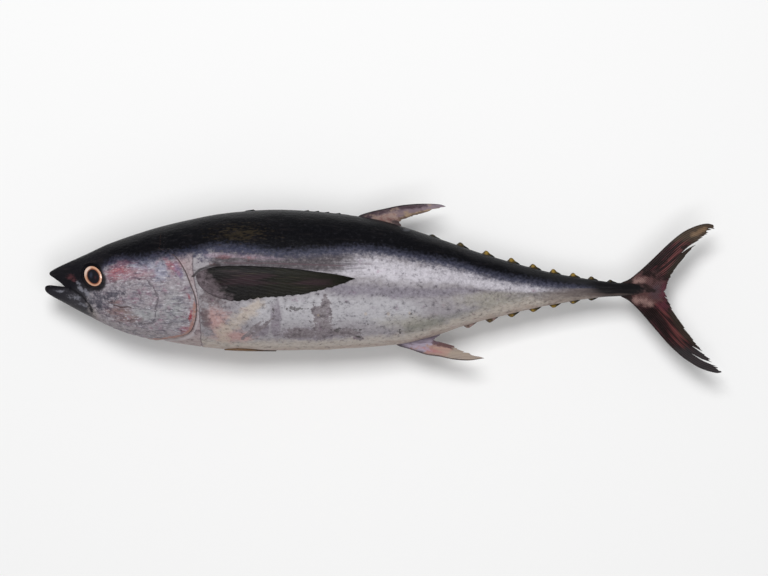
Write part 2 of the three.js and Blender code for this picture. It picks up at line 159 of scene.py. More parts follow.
# The pelvic fins' edges are (x, side): they lie flat against the belly.
PELVIC = {
    "inner": [(264, 2.5), (272, 1.2), (300, 1.2), (325, 1.8), (343, 4)],
    "outer": [(264, 2.5), (270, 13), (284, 19), (305, 17), (326, 10), (343, 4)],
}
PECTORAL_ROOT, PECTORAL_TIP = PECTORAL["upper"][0][0], PECTORAL["upper"][-1][0]
PELVIC_ROOT, PELVIC_TIP = PELVIC["inner"][0][0], PELVIC["inner"][-1][0]
FIRST_DORSAL = {"start": 293, "end": 451, "spines": (304, 388, 403, 418, 434.5), "depth": 9}
# Splits in a trailing edge: where along the fin, how deep as a share of the ray, half the width in mm.
FIN_TEARS = [(0.86, 0.16, 0.5), (0.66, 0.08, 0.8), (0.50, 0.07, 0.8), (0.36, 0.06, 0.9)]
TAIL_UPPER_TEARS = [(0.76, 0.27, 2.2), (0.62, 0.04, 0.8), (0.36, 0.09, 1.3), (0.20, 0.22, 2.2)]
TAIL_LOWER_TEARS = [
    (0.90, 0.27, 1.8), (0.79, 0.20, 1.7), (0.68, 0.08, 1.0), (0.57, 0.13, 1.6), (0.34, 0.10, 1.3),
    (0.22, 0.16, 2.0), (0.14, 0.20, 1.8),
]
# Finlets: the peak's x, its height and the length, then how yellow and how pink it is.
DORSAL_FINLETS = [
    (572, 3.2, 20, 0, 0), (613, 5.6, 22, 0.55, 0), (651, 6.2, 22, 1, 0), (688, 6.4, 22, 1, 0),
    (720, 6.2, 22, 0.9, 0), (750, 6, 20, 0.95, 0), (779, 5.6, 19, 1, 0), (806, 4.6, 18, 0.55, 0),
    (834, 3.6, 17, 0, 0),
]
ANAL_FINLETS = [
    (624, 5, 22, 0, 1), (656, 5.6, 22, 0.5, 1), (688, 5.4, 21, 1, 0.6), (720, 5, 21, 1, 0.5),
    (750, 4.8, 20, 1, 0), (779, 4.4, 19, 0.8, 0), (806, 3.4, 18, 0.1, 0),
]
# A finlet's outline: its height along its length, both as shares.
DORSAL_PROFILE = [
    (0, 0), (0.1, 0.35), (0.22, 0.82), (0.36, 1), (0.48, 0.88), (0.6, 0.55), (0.75, 0.4), (0.9, 0.25), (1, 0),
]
ANAL_PROFILE = [
    (0, 0), (0.1, 0.35), (0.22, 0.78), (0.36, 1), (0.52, 0.92), (0.68, 0.65), (0.82, 0.4), (0.93, 0.2),
    (1, 0),
]

# ---- Curves and fields -------------------------------------------------------------------------------------


def curve(points):
    """A function y(x) through points: a cubic between neighbours, whose slope at a point is that of the
    line between the two points beside it. It holds its end values outside them."""
    xs, ys = np.array(points, float).T
    slopes = np.gradient(ys)
    slopes[1:-1] = (ys[2:] - ys[:-2]) / (xs[2:] - xs[:-2])
    slopes[[0, -1]] = (ys[[1, -1]] - ys[[0, -2]]) / (xs[[1, -1]] - xs[[0, -2]])

    def at(x):
        x = np.clip(x, xs[0], xs[-1])
        i = np.clip(np.searchsorted(xs, x, side="right") - 1, 0, len(xs) - 2)
        span = xs[i + 1] - xs[i]
        t = (x - xs[i]) / span
        s = t - 1
        between = (1 + 2 * t) * s * s * ys[i] + t * t * (3 - 2 * t) * ys[i + 1]
        return between + t * s * (s * slopes[i] + t * slopes[i + 1]) * span

    return at


def tip_curve(points):
    """The same, with distances from the first point taken as square roots, so that it starts as a round
    tip."""
    start = points[0][0]
    inner = curve([(np.sqrt(x - start), y) for x, y in points])
    return lambda x: inner(np.sqrt(np.maximum(x - start, 0)))


def spline(points):
    """A point at t, from 0 to 1, on a Catmull-Rom curve that takes the same t from each point to the
    next."""
    given = np.array(points, float)
    held = np.vstack([given[:1], given, given[-1:]])

    def at(t):
        place = np.clip(t, 0, 1) * (len(given) - 1)
        i = np.minimum(place.astype(int), len(given) - 2)
        f = (place - i)[..., None]
        a, b, c, d = (held[i + k] for k in range(4))
        bend = (2 * a - 5 * b + 4 * c - d) * f**2
        return 0.5 * (2 * b + (c - a) * f + bend + (3 * b - a - 3 * c + d) * f**3)

    return at


def smooth(low, high, value):
    """0 at low and 1 at high, eased at both ends."""
    t = np.clip((value - low) / (high - low), 0, 1)
    return t * t * (3 - 2 * t)


def bell(value, width):
    """1 at 0, falling off on both sides as a bell curve of that width."""
    return np.exp(-((value / width) ** 2))


def blob(x, y, centre, half_size, lean=0.0):
    """1 in the middle of an ellipse, 0 on its edge and negative outside. lean slides it forward as it
    goes up."""
    u = (x - centre[0] + lean * (y - centre[1])) / half_size[0]
    v = (y - centre[1]) / half_size[1]
    return 1 - np.hypot(u, v)


def blobs(x, y, *places):
    """The largest of several blobs, each given as its centre, its half size and, if it leans, its
    lean."""
    return np.maximum.reduce([blob(x, y, *place) for place in places])


def crease(x, y, points):
    """Distance to the nearest of the straight stretches between points, and the same with a sign for its
    side. The signed one is stretched a hundredfold at both ends, so that a line painted where it passes
    zero tapers away."""
    nearest = np.full(np.shape(x), np.inf)
    signed, place = nearest.copy(), nearest.copy()
    for i, ((x0, y0), (x1, y1)) in enumerate(zip(points, points[1:])):
        dx, dy = x1 - x0, y1 - y0
        t = np.clip(((x - x0) * dx + (y - y0) * dy) / (dx * dx + dy * dy), 0, 1)
        u, v = x - x0 - t * dx, y - y0 - t * dy
        distance = np.hypot(u, v)
        closer = distance < nearest
        signed = np.where(closer, distance * np.where(dx * v > dy * u, 1, -1), signed)
        place = np.where(closer, i + t, place)
        nearest = np.minimum(nearest, distance)
    last = len(points) - 1
    return nearest, fading(signed, smooth(0, 0.5, place) * smooth(last, last - 0.5, place))


def fading(distance, share):
    """A signed distance, stretched a hundredfold where share is 0: a line painted where it is zero thins
    to nothing there."""
    return distance * (100 - 99 * share)


def behind(x, y, line):
    """Distance behind a line that is given as x = line(y): the distance along x, times the cosine of its
    lean."""
    slope = line(y + 0.5) - line(y - 0.5)
    return (x - line(y)) / np.sqrt(1 + slope**2)


def waves(x, y, seed, size):
    """A soft random field between about -1 and 1: the sum of sine waves of about that length in every
    direction."""
    count = 14
    rng = np.random.default_rng(seed)
    total = np.zeros(np.shape(x))
    for _ in range(count):
        angle, phase = rng.uniform(0, 2 * np.pi, 2)
        pitch = size * rng.uniform(0.6, 1.6)
        total += np.sin(2 * np.pi * (x * np.cos(angle) + y * np.sin(angle)) / pitch + phase)
    return total / np.sqrt(count)


back = tip_curve(BACK)
belly = tip_curve(BELLY)
half_width = curve(HALF_WIDTH)
widest_line = curve(WIDEST_LINE)
upper_lip = tip_curve(UPPER_LIP)
lower_lip = tip_curve(LOWER_LIP)
dark_depth = curve(DARK_DEPTH)
silver_depth = curve(SILVER_DEPTH)
silver_band = curve(SILVER_BAND)
gill_edge = curve(GILL_EDGE)
shoulder = curve(SHOULDER)
pectoral_upper = curve(PECTORAL["upper"])
pectoral_lower = curve(PECTORAL["lower"])
lateral_line = curve(LATERAL_LINE)


def flank_at(x, y):
    """The trunk's half-width at a height: the superellipse solved for its side."""
    reach = np.where(y > widest_line(x), back(x) - widest_line(x), widest_line(x) - belly(x))
    up = np.minimum(np.abs(y - widest_line(x)) / reach, 1)
    return half_width(x) * (1 - up**SECTION) ** (1 / SECTION)


def belly_at(x, side):
    """The belly's height at a distance from the middle: the superellipse solved for its height."""
    out = np.minimum(np.abs(side) / half_width(x), 1)
    return widest_line(x) - (widest_line(x) - belly(x)) * (1 - out**SECTION) ** (1 / SECTION)


def eye_distance(x, y):
    """1 on the outline of the eye's ring, 0 at its middle."""
    return 1 - blob(x, y, (EYE["x"], EYE["y"]), (EYE["half_width"], EYE["half_height"]), EYE["lean"])


# ---- Meshes ------------------------------------------------------------------------------------------------


def in_frame(x, y, side):
    """Points of the fish's frame, in millimetres, as points of the row frame, in metres."""
    return np.stack(np.broadcast_arrays(NOSE + x * MM, y * MM, BED + side * MM), -1)


def add_piece(name, points, faces, fields, material, slot, *nodes):
    """Makes a smooth mesh object with one attribute for each field, hides the named parts of the CAD model
    and attaches the object to the root body."""
    mesh = bpy.data.meshes.new(name)
    quads, triangles = (
        np.concatenate([np.zeros((0, n), int), *(f.reshape(-1, n) for f in faces if f.shape[-1] == n)])
        for n in (4, 3))
    mesh.vertices.add(len(points))
    mesh.vertices.foreach_set("co", np.asarray(points, np.float32).ravel())
    mesh.loops.add(quads.size + triangles.size)
    corners = np.concatenate([quads.ravel(), triangles.ravel()])
    mesh.loops.foreach_set("vertex_index", corners.astype(np.int32))
    starts = np.concatenate([np.arange(len(quads)) * 4, quads.size + np.arange(len(triangles)) * 3])
    mesh.polygons.add(len(starts))
    mesh.polygons.foreach_set("loop_start", starts.astype(np.int32))
    mesh.polygons.foreach_set("use_smooth", np.ones(len(starts), bool))
    mesh.update(calc_edges=True)
    mesh.validate()
    for field, values in fields.items():
        made = mesh.attributes.new(field, "FLOAT", "POINT")
        made.data.foreach_set("value", np.asarray(values, np.float32).ravel())
    mesh.materials.append(material)
    piece = bpy.data.objects.new(name, mesh)
    bpy.context.scene.collection.objects.link(piece)
    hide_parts(*nodes)
    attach(piece, "root")


def tube_faces(rings, around):
    """Quads between closed rings, and a fan of triangles from each end ring to a pole. The poles are the
    last two points. Rings that run from back to left flank, and go from head to tail, face outwards."""
    index = np.arange(rings * around).reshape(rings, around)
    onward = np.roll(index, -1, axis=1)
    quads = np.stack([index[:-1], onward[:-1], onward[1:], index[1:]], -1)
    first, last = rings * around, rings * around + 1
    head = np.stack([np.full(around, first), onward[0], index[0]], -1)
    tail = np.stack([np.full(around, last), index[-1], onward[-1]], -1)
    return quads, head, tail


def lens_faces(u, v):
    """Faces of a front and a back sheet over a grid in a plane, that share their border: the back's inner
    points follow the front's. The front faces outwards where u turns to v; where the grid runs the other
    way round, its signed area is negative and every face is turned over. Each face starts at the corner
    from which its diagonal points to the nearest corner of the grid, so that no triangle lies with all
    its points on the border."""
    rows, columns = u.shape
    front = np.arange(rows * columns).reshape(rows, columns)
    rear = front.copy()
    rear[1:-1, 1:-1] = rows * columns + np.arange((rows - 2) * (columns - 2)).reshape(rows - 2, columns - 2)
    row, column = np.indices((rows - 1, columns - 1))
    crossed = ((row < rows // 2) != (column < columns // 2))[..., None]
    onward = [np.diff(w, axis=0)[:, 1:] for w in (u, v)]
    across = [np.diff(w, axis=1)[1:] for w in (u, v)]
    area = (onward[0] * across[1] - onward[1] * across[0]).sum()
    faces = []
    for sheet, outwards in ((front, area > 0), (rear, area < 0)):
        quads = np.stack([sheet[:-1, :-1], sheet[1:, :-1], sheet[1:, 1:], sheet[:-1, 1:]], -1)
        quads = np.where(crossed, np.roll(quads, -1, axis=-1), quads)
        faces.append(quads if outwards else quads[..., [0, 3, 2, 1]])
    return faces


def lens(place, u, v, middle, half, fields):
    """Points, faces and fields of a thin closed blade over a grid in a plane: a front sheet at middle +
    half and a rear sheet at middle - half, that meet all round. place turns u, v and a height over the
    plane into points."""
    edge = np.zeros_like(half)
    edge[1:-1, 1:-1] = half[1:-1, 1:-1]
    front = place(u, v, middle + edge).reshape(-1, 3)
    rear = place(u, v, middle - edge)[1:-1, 1:-1].reshape(-1, 3)
    both = {k: np.concatenate([f.ravel(), f[1:-1, 1:-1].ravel()]) for k, f in fields.items()}
    return np.concatenate([front, rear]), lens_faces(u, v), both


def ray_grid(leading, trailing, rows, columns, tears, jitter, seed):
    """A grid of fin rays. Every ray keeps its distance from the leading edge and ends where the blade has
    become narrower than that, so that short rays end on the trailing edge. Strands of rays are shorter by
    up to jitter, and each of tears splits the trailing edge beside the ray that ends there. Returns x, y
    and the fields ray, reach and chord."""
    front, rear = spline(leading), spline(trailing)
    places = np.linspace(0, 1, 400)
    width = np.minimum.accumulate(np.hypot(*(rear(places) - front(places)).T))
    offset = np.linspace(0, 1, columns) ** 0.9 * width[0]
    end = np.maximum(np.interp(-offset, -width, places), 0.02)
    strand_count = columns // 3
    uneven = np.random.default_rng(seed).uniform(0, 1, strand_count)
    strands = np.interp(offset, np.linspace(0, width[0], strand_count), uneven)
    loss = jitter * strands * smooth(0, 0.15, offset / width[0])
    for where, depth, spread in tears:
        middle = np.interp(where, places, width)
        loss = np.maximum(loss, depth * np.clip(1 - np.abs(offset - middle) / spread, 0, 1))
    reach = np.linspace(0, 1, rows)[:, None] * end * (1 - loss)
    chord = np.clip(offset / np.interp(reach, places, width), 0, 1)
    p = front(reach) * (1 - chord[..., None]) + rear(reach) * chord[..., None]
    ray = np.broadcast_to(offset, reach.shape)
    return p[..., 0], p[..., 1], {"ray": ray, "reach": reach, "chord": chord}


# ---- Materials ---------------------------------------------------------------------------------------------


def linear(code):
    """A hex sRGB colour as linear red, green and blue."""
    value = np.array([int(code[i : i + 2], 16) for i in (1, 3, 5)]) / 255
    return tuple(np.where(value <= 0.04045, value / 12.92, ((value + 0.055) / 1.055) ** 2.4).tolist())


def plug(tree, made, inputs):
    """Links or sets each of a node's inputs."""
    for key, value in inputs.items():
        if isinstance(value, bpy.types.NodeSocket):
            tree.links.new(value, made.inputs[key])
        else:
            made.inputs[key].default_value = value


def node(tree, kind, inputs, **settings):
    """Adds one node with its settings and inputs."""
    made = tree.nodes.new(kind)
    for name, value in settings.items():
        setattr(made, name, value)
    plug(tree, made, inputs)
    return made


# Grains that move the borders of the layers, each the size of one patch in millimetres along x, y and
# side, then the noise's detail and roughness. A tuna's scales are about 1 mm across: speckle is drawn
# four times as coarse, so that it can be seen from above the table.
GRAINS = {
    "speckle": ((4.4, 3.8, 3.8), 2, 0.6),
    "fine": ((7.5, 6, 6), 4, 0.75),
    "mottle": ((15, 11, 11), 5, 0.68),
    "cloud": ((60, 36, 36), 3, 0.5),
    "streak": ((44, 4.6, 8), 4, 0.65),
    "wrinkle": ((22, 4.2, 6), 4, 0.72),
    "drip": ((7, 42, 14), 4, 0.6),
    "flake": ((10, 2.8, 2.8), 3, 0.7),
}


WET_IOR = 1.34  # water and the thin skin under it
CORNEA_IOR = 1.36


class Paint:
    """Lays colours over one another on a material. A layer is (colour, field, low, high, opacity, grain,
    weight): it shows where field, with weight times the grain added, rises from low to high."""

    def __init__(self, name, base):
        self.material = bpy.data.materials.new(name)
        self.material.use_nodes = True
        self.tree = self.material.node_tree
        self.shader = self.tree.nodes["Principled BSDF"]
        self.place = node(self.tree, "ShaderNodeTexCoord", {}).outputs["Object"]
        self.sockets = {}
        self.colour = linear(base) + (1.0,)

    def signal(self, name):
        """The socket of a grain, which runs from about -1 to 1, or of a piece's own field."""
        if name not in self.sockets and name in GRAINS:
            size, detail, roughness = GRAINS[name]
            scale = [1 / (s * MM) for s in size]
            mapped = node(self.tree, "ShaderNodeMapping", {"Vector": self.place, "Scale": scale})
            noise = node(self.tree, "ShaderNodeTexNoise", {
                "Vector": mapped.outputs[0], "Scale": 1.0, "Detail": detail, "Roughness": roughness})
            spread = node(self.tree, "ShaderNodeMapRange", {
                "Value": noise.outputs["Fac"], "From Min": 0.3, "From Max": 0.7, "To Min": -1.0,
                "To Max": 1.0}, clamp=False)
            self.sockets[name] = spread.outputs[0]
        elif name not in self.sockets:
            made = node(self.tree, "ShaderNodeAttribute", {}, attribute_name=name)
            self.sockets[name] = made.outputs["Fac"]
        return self.sockets[name]

    def mask(self, field, low, high, opacity=1.0, grain=None, weight=0.0, start=0.0, line=False):
        """A share that rises from start to opacity while the field, with weight times the grain added,
        goes from low to high. With line it is the distance from zero that counts."""
        value = self.signal(field or grain)
        if field and grain:
            value = node(self.tree, "ShaderNodeMath", {0: self.signal(grain), 1: weight, 2: value},
                         operation="MULTIPLY_ADD").outputs[0]
        if line:
            value = node(self.tree, "ShaderNodeMath", {0: value}, operation="ABSOLUTE").outputs[0]
        return node(self.tree, "ShaderNodeMapRange", {
            "Value": value, "From Min": low, "From Max": high, "To Min": start, "To Max": opacity},
            interpolation_type="SMOOTHSTEP").outputs[0]

    def layer(self, colour, field, low, high, opacity=1.0, grain=None, weight=0.0, blend="MIX", line=False):
        """Lays one colour over those before it, mixed, multiplied or screened. With no field the grain
        alone counts."""
        factor = self.mask(field, low, high, opacity, grain, weight, line=line)
        over = (linear(colour) if isinstance(colour, str) else tuple(colour)) + (1.0,)
        mixed = node(self.tree, "ShaderNodeMix", {0: factor, 6: self.colour, 7: over}, data_type="RGBA",
                     blend_type=blend, clamp_factor=True)
        self.colour = mixed.outputs[2]

    def line(self, colour, field, half_width, opacity=1.0, grain=None, weight=0.0):
        """A line along which a signed distance passes zero. The grain makes it waver."""
        self.layer(colour, field, half_width, 0.25 * half_width, opacity, grain, weight, line=True)

    def finish(self, bumps, bump_mm, values):
        """Links the colour, the shader's values, and the sum of the grains in bumps as a relief, that many
        millimetres high."""
        inputs = {**values, "Base Color": self.colour}
        height = 0.0
        for source, weight in bumps:
            height = node(self.tree, "ShaderNodeMath", {0: self.signal(source), 1: weight, 2: height},
                          operation="MULTIPLY_ADD").outputs[0]
        if bumps:
            bump = node(self.tree, "ShaderNodeBump", {"Height": height, "Distance": bump_mm * MM})
            inputs["Normal"] = bump.outputs[0]
        plug(self.tree, self.shader, inputs)
        return self.material


def skin_material(settings):
    """Raw tuna skin, as it grew: tiny scales under a film of water. Pigment makes the back near-black,
    and crystals under the scales make the flank a broken silver, so the eye sees a soft sheen that is
    speckled and never mirror-like."""
    paint = Paint("raw_tuna_skin", "#928d92")
    dim, pale = "#a29ea4", "#959397"
    for colour, field, low, high, opacity, *grain in (
        # Flank: lilac grey, a bright band under the dark back, a duller band below it that is painted shade,
        # and a pale belly.
        ("#aeacb1", "pale_flank", 0.1, 0.9, 0.9, "cloud", 0.2),
        ("#77717d", "dull_band", 0.2, 1.0, 0.7, "mottle", 0.3),
        ("#86847f", "low_shade", 0.2, 1.0, 0.6, "cloud", 0.3),
        ("#85807e", "rear_tone", 0.1, 0.9, 0.8, "mottle", 0.2),
        (settings.silver, "silver", 0.15, 0.8, 0.95, "mottle", 0.3),
        ("#a49f8d", "belly_yellow", 0.1, 0.9, 0.4, "mottle", 0.3),
        # The belly's lower edge: a pinkish beige band of its own, lightened further as painted light, then
        # brown streaks.
        ("#c3b8ad", "belly_edge", -9, 4, 0.75, "mottle", 4),
        ("#a08072", "belly_edge", 4, 11, 0.4, "streak", 5),
        # Behind the gill cover: pink and yellow where the skin is bruised, and scaly brown round the pectoral
        # fin's root, partly the skin's own colour and partly painted shade.
        ("#b08c88", "pink_patch", 0.0, 0.7, 0.8, "mottle", 0.4),
        ("#b5a89c", "yellow_patch", 0.0, 0.9, 0.75, "mottle", 0.5),
        ("#5d5154", "root_shade", 0.1, 0.9, 0.85, "mottle", 0.6),
        # Stains where the silver has rubbed off the belly.
        ("#7d757e", "soft_stains", 0.0, 0.45, 0.85, "drip", 0.2),
        ("#7b7377", "stains", 0.0, 0.16, 0.9, "fine", 0.42),
        ("#5f5759", "stains", 0.4, 1.1, 0.5, "fine", 0.6),
        ("#74746c", "smudge", 0.0, 0.9, 0.5, "mottle", 0.4),
        ("#b3a392", "tan_spots", 0.1, 0.7, 0.5),
        ("#4a4646", "dark_flecks", 0.35, 0.6, 0.8, "speckle", 0.6),
        # The upper flank above the pectoral fin: dark, glinting pink and red along its length.
        ("#484146", "upper_flank", 0.1, 0.9, 0.92, "streak", 0.3),
        ("#45425a", "upper_purple", 0.0, 0.8, 0.75, "fine", 0.6),
        ("#a3929f", "pink_glint", 0.25, 1.1, 0.65, "streak", 0.5),
        ("#8b5557", "upper_red", 0.1, 0.9, 0.5, "fine", 0.6),
        # Head: grey cheek, silver behind the eye, with a pink blush, brown creases and a dark jaw.
        ("#90888e", "on_head", 0.0, 1.0, 0.85),
        ("#9596a9", "temple", 0.0, 0.7, 0.8, "wrinkle", 0.5),
        # A paler plate on the cheek and behind its edge: grey skin, lightened behind the edge as painted
        # light.
        ("#9aa0a0", "cheek_plate", 0.0, 0.8, 0.5, "mottle", 0.3),
        ("#96707a", "blush_trail", 0.0, 0.7, 0.7, "wrinkle", 0.4),
        ("#9c4a53", "blush", 0.0, 0.9, 0.85, "wrinkle", 0.5),
        ("#7b5a50", "cheek_brown", 0.0, 0.7, 0.65, "wrinkle", 0.4),
        ("#66587c", "gill_purple", 0.1, 0.9, 0.7, "mottle", 0.4),
        ("#9c5560", "gill_pink", 0.2, 0.9, 0.65, "mottle", 0.4),
        ("#9f8d90", "shoulder_skin", 0.1, 0.9, 0.7, "mottle", 0.2),
        ("#565260", "on_head", 0.7, 2.0, 0.75, "wrinkle", 1.1),
        ("#8f7180", "on_head", 1.1, 2.1, 0.6, "mottle", 1.2),
        ("#c0bdc4", "on_head", 1.1, 2.3, 0.8, "flake", 1.2),
    ):
        paint.layer(colour, field, low, high, opacity, *grain)
    # Scales: dark and bright specks over everything so far, thickest beside the dark back.
    paint.layer(dim, None, 0.0, 1.3, 0.62, "fine", blend="MULTIPLY")
    paint.layer(pale, None, 0.1, -1.2, 0.42, "fine", blend="SCREEN")
    paint.layer(dim, "speckled", 0.45, 1.6, 0.5, "speckle", 0.9, blend="MULTIPLY")
    paint.layer(pale, "silver", 0.7, 2.1, 0.5, "speckle", 0.9, blend="SCREEN")
    for colour, field, low, high, opacity, *grain in (
        ("#4a4950", "jaw", -8, 10, 0.85, "mottle", 6),
        ("#3c3b47", "jaw_shade", 0.1, 0.9, 0.8, "fine", 0.6),
        # The dark back: a navy border that breaks into speckles, then near-black, and a grey rim along its
        # edge that is a painted highlight.
        ("#383c53", "dark_back", -12, 3, 0.88, "fine", 4),
        (settings.back, "dark_back", -7, 13, 0.98, "speckle", 3.5),
        ("#362f24", "olive", 0.3, 1.1, 0.7, "flake", 0.8),
        ("#2a2a2c", "back_edge", -4, 6, 0.75, "cloud", 3),
        ("#19181c", "snout", -8, 4, 0.93, "mottle", 6),
        ("#2e2d32", "lower_jaw", 0.0, 0.6, 0.9, "fine", 0.3),
        ("#0d0c10", "eye_socket", 0.0, 0.3, 0.97, "mottle", 0.08),
        ("#553236", "nostril_mark", 0.1, 0.9, 0.7, "fine", 0.5),
        # Silver grey marks on the upper and lower jaw: painted highlights.
        ("#85858f", "jaw_marks", 0.2, 1.0, 0.65, "fine", 0.7),
        ("#5f5554", "stalk_shade", 0.0, 1.0, 0.85, "streak", 0.2),
        ("#161517", "stalk", -10, 14, 0.95, "streak", 6),
        ("#5c504c", "stalk_pale", 0.1, 0.9, 0.7, "streak", 0.5),
        ("#5e4848", "stalk_flesh", -8, 10, 0.9, "fine", 9),
        # A grey patch on the hump behind the second dorsal fin: painted highlight.
        ("#5a5b60", "hump", 0.2, 0.8, 0.8),
        ("#8a2c36", "gill_red", 0.4, 1.25, 0.85, "fine", 0.35),
    ):
        paint.layer(colour, field, low, high, opacity, *grain)
    for colour, field, half_width, opacity, *grain in (
        ("#a3705e", "gill_rim", 4.0, 0.6, "fine", 2.6),
        ("#b3adb1", "gill_lip", 1.7, 0.6, "mottle", 0.6),
        # Painted shade in the slit under the gill cover's rear edge.
        ("#4c4040", "gill_slit", 1.3, 0.9, "fine", 0.4),
        ("#564c52", "shoulder_line", 1.2, 0.7, "fine", 1.0),
        # Painted shade along the cheek plate's sunken edge.
        ("#3d373f", "cheek_edge", 1.9, 0.62, "fine", 3.0),
        ("#4b3a3a", "cheek_crease", 1.6, 0.85, "fine", 0.8),
        # Painted shade in the fold of the lower jaw.
        ("#121116", "jaw_fold", 3.0, 0.85, "mottle", 2.5),
        ("#54434a", "lateral", 1.5, 0.85, "fine", 0.8),
        # Painted shade on the skin along the pectoral fin's upper root.
        ("#2a2326", "fin_fold", 3.2, 0.85, "mottle", 1.5),
    ):
        paint.line(colour, field, half_width, opacity, *grain)
    paint.layer("#5a3a3a", "mouth", 0.3, 0.8, 0.95)
    # The dark back is smoother and glints less than the flank, whose silver is a little metallic.
    return paint.finish([("speckle", 0.3), ("flake", 0.2), ("mottle", 0.5)], 0.45, {
        "Roughness": paint.mask("dark_back", 6, -8, 0.5, start=0.36), "IOR": WET_IOR,
        "Metallic": paint.mask("silver", 0.2, 1.0, 0.15), "Coat Roughness": 0.3,
        "Specular IOR Level": paint.mask("dark_back", 8, -8, 0.28, start=0.07),
        "Coat Weight": paint.mask("silver", 0.2, 1.0, settings.wetness)})


def eye_material():
    """The eye of a fresh fish: a clear wet cornea over a pale gold ring and a black pupil. The cornea
    gives a sharp highlight, so the surface is smooth and clear-coated."""
    paint = Paint("fish_eye", "#bd8a6c")
    paint.layer("#d9ab90", "iris_share", 0.68, 0.86, 0.8, "mottle", 0.05)
    # A paler patch on the ring's upper left: painted highlight.
    paint.layer("#ecd6c8", "iris_highlight", 0.0, 0.8, 0.75, "fine", 0.2)
    paint.layer("#8e4a34", "iris_share", 0.88, 0.97, 0.8, "fine", 0.02)
    paint.layer("#2a1416", "iris_share", 0.95, 1.02, 0.95)
    paint.layer("#0d0b0e", "iris_share", 1.02, 1.08, 1.0)
    paint.layer("#7c4430", "pupil_share", 0.26, 0.12, 0.9, "fine", 0.04)
    paint.layer("#131118", "pupil_share", 0.1, 0.0, 1.0, "fine", 0.02)
    # A blue grey patch in the pupil: painted reflection.
    paint.layer("#363a4c", "pupil_reflection", 0.0, 1.0, 0.7)
    paint.layer("#48222b", "pupil_warm", 0.0, 1.0, 0.5)
    return paint.finish([("mottle", 0.1)], 0.1, {
        "Roughness": 0.2, "IOR": CORNEA_IOR, "Coat Weight": 0.2, "Coat Roughness": 0.08})


# The thin film of water on fin skin, which leaves a faint gloss.
FIN_FILM = {
    "Roughness": 0.42, "IOR": WET_IOR, "Specular IOR Level": 0.14, "Coat Weight": 0.04,
    "Coat Roughness": 0.25,
}


def fin_material(name, base, furrow, crest, layers):
    """A wet fin: a thin film of skin over hard rays. Base and layers give its colours; the furrows
    between the rays are darker and the crests lighter. The film of water gives a faint gloss that follows
    the rays."""
    paint = Paint(name, base)
    for layer in layers:
        paint.layer(*layer)
    paint.layer(furrow, "ray_wave", 0.1, -0.9, 0.4)
    paint.layer(crest, "ray_wave", 0.2, 1.2, 0.3, "fine", 0.4)
    return paint.finish([("ray_wave", 0.4), ("mottle", 0.3), ("fine", 0.15)], 0.4, FIN_FILM)


# Black membrane with an olive and a purple cast, and a scaly pale root.
PECTORAL_LAYERS = [
    ("#1f1e15", "reach", 0.35, 0.7, 0.8, "mottle", 0.12),
    ("#34232a", "purple_zone", 0.0, 0.9, 0.85, "streak", 0.5),
    ("#3d3c2b", "ray_tone", 0.5, 1.8, 0.6, "streak", 0.6),
    ("#0b0a0b", "rim", 0.35, 0.9, 0.85, "mottle", 0.2),
    ("#655a5f", "root_zone", -0.1, 0.6, 0.9, "mottle", 0.45),
    ("#8d8188", "root_zone", 0.4, 1.6, 0.75, "fine", 0.9),
    ("#3a3235", "root_zone", 0.5, 1.4, 0.6, "mottle", 0.9),
]
# Pink with blood at the root, lilac and maroon in the middle, tan at the rear, with a dark front edge.
DORSAL_LAYERS = [
    ("#33202a", "chord", 0.5, 0.2, 0.9, "mottle", 0.16),
    ("#8c7f88", "reach", 0.62, 0.85, 0.8, "mottle", 0.15),
    ("#a78f86", "root_zone", 0.1, 0.8, 0.9, "mottle", 0.45),
    ("#7d4a44", "root_zone", 0.5, 1.4, 0.75, "fine", 0.9),
    ("#3f3538", "heel", 0.1, 0.7, 0.85, "mottle", 0.3),
    ("#a68f72", "rear_zone", 0.1, 0.8, 0.85, "mottle", 0.5),
    ("#4a352c", "rear_zone", 0.35, 1.1, 0.85, "fine", 0.6),
    ("#5b4d4a", None, 0.2, 1.3, 0.6, "fine"),
    ("#1c1416", "chord", 0.14, 0.02, 0.9, "mottle", 0.03),
    ("#403b3c", "reach", 0.93, 0.99, 0.8),
]
# Lilac at the root, orange pink in the middle, tan at the tip, with a dark front edge and rear patch.
ANAL_LAYERS = [
    ("#a98a7c", "reach", 0.30, 0.42, 0.93, "mottle", 0.13),
    ("#9d6168", "blush", 0.2, 1.0, 0.6, "mottle", 0.4),
    ("#43242a", "rear_zone", 0.1, 0.6, 0.85, "mottle", 0.4),
    ("#9c8f82", "reach", 0.56, 0.68, 0.93, "mottle", 0.09),
    ("#7d736a", "reach", 1.0, 2.0, 0.6, "fine", 1.2),
    ("#6f6270", "root_zone", 0.5, 1.4, 0.7, "streak", 0.7),
    ("#2a2226", "chord", 0.16, 0.02, 0.85, "mottle", 0.06),
]
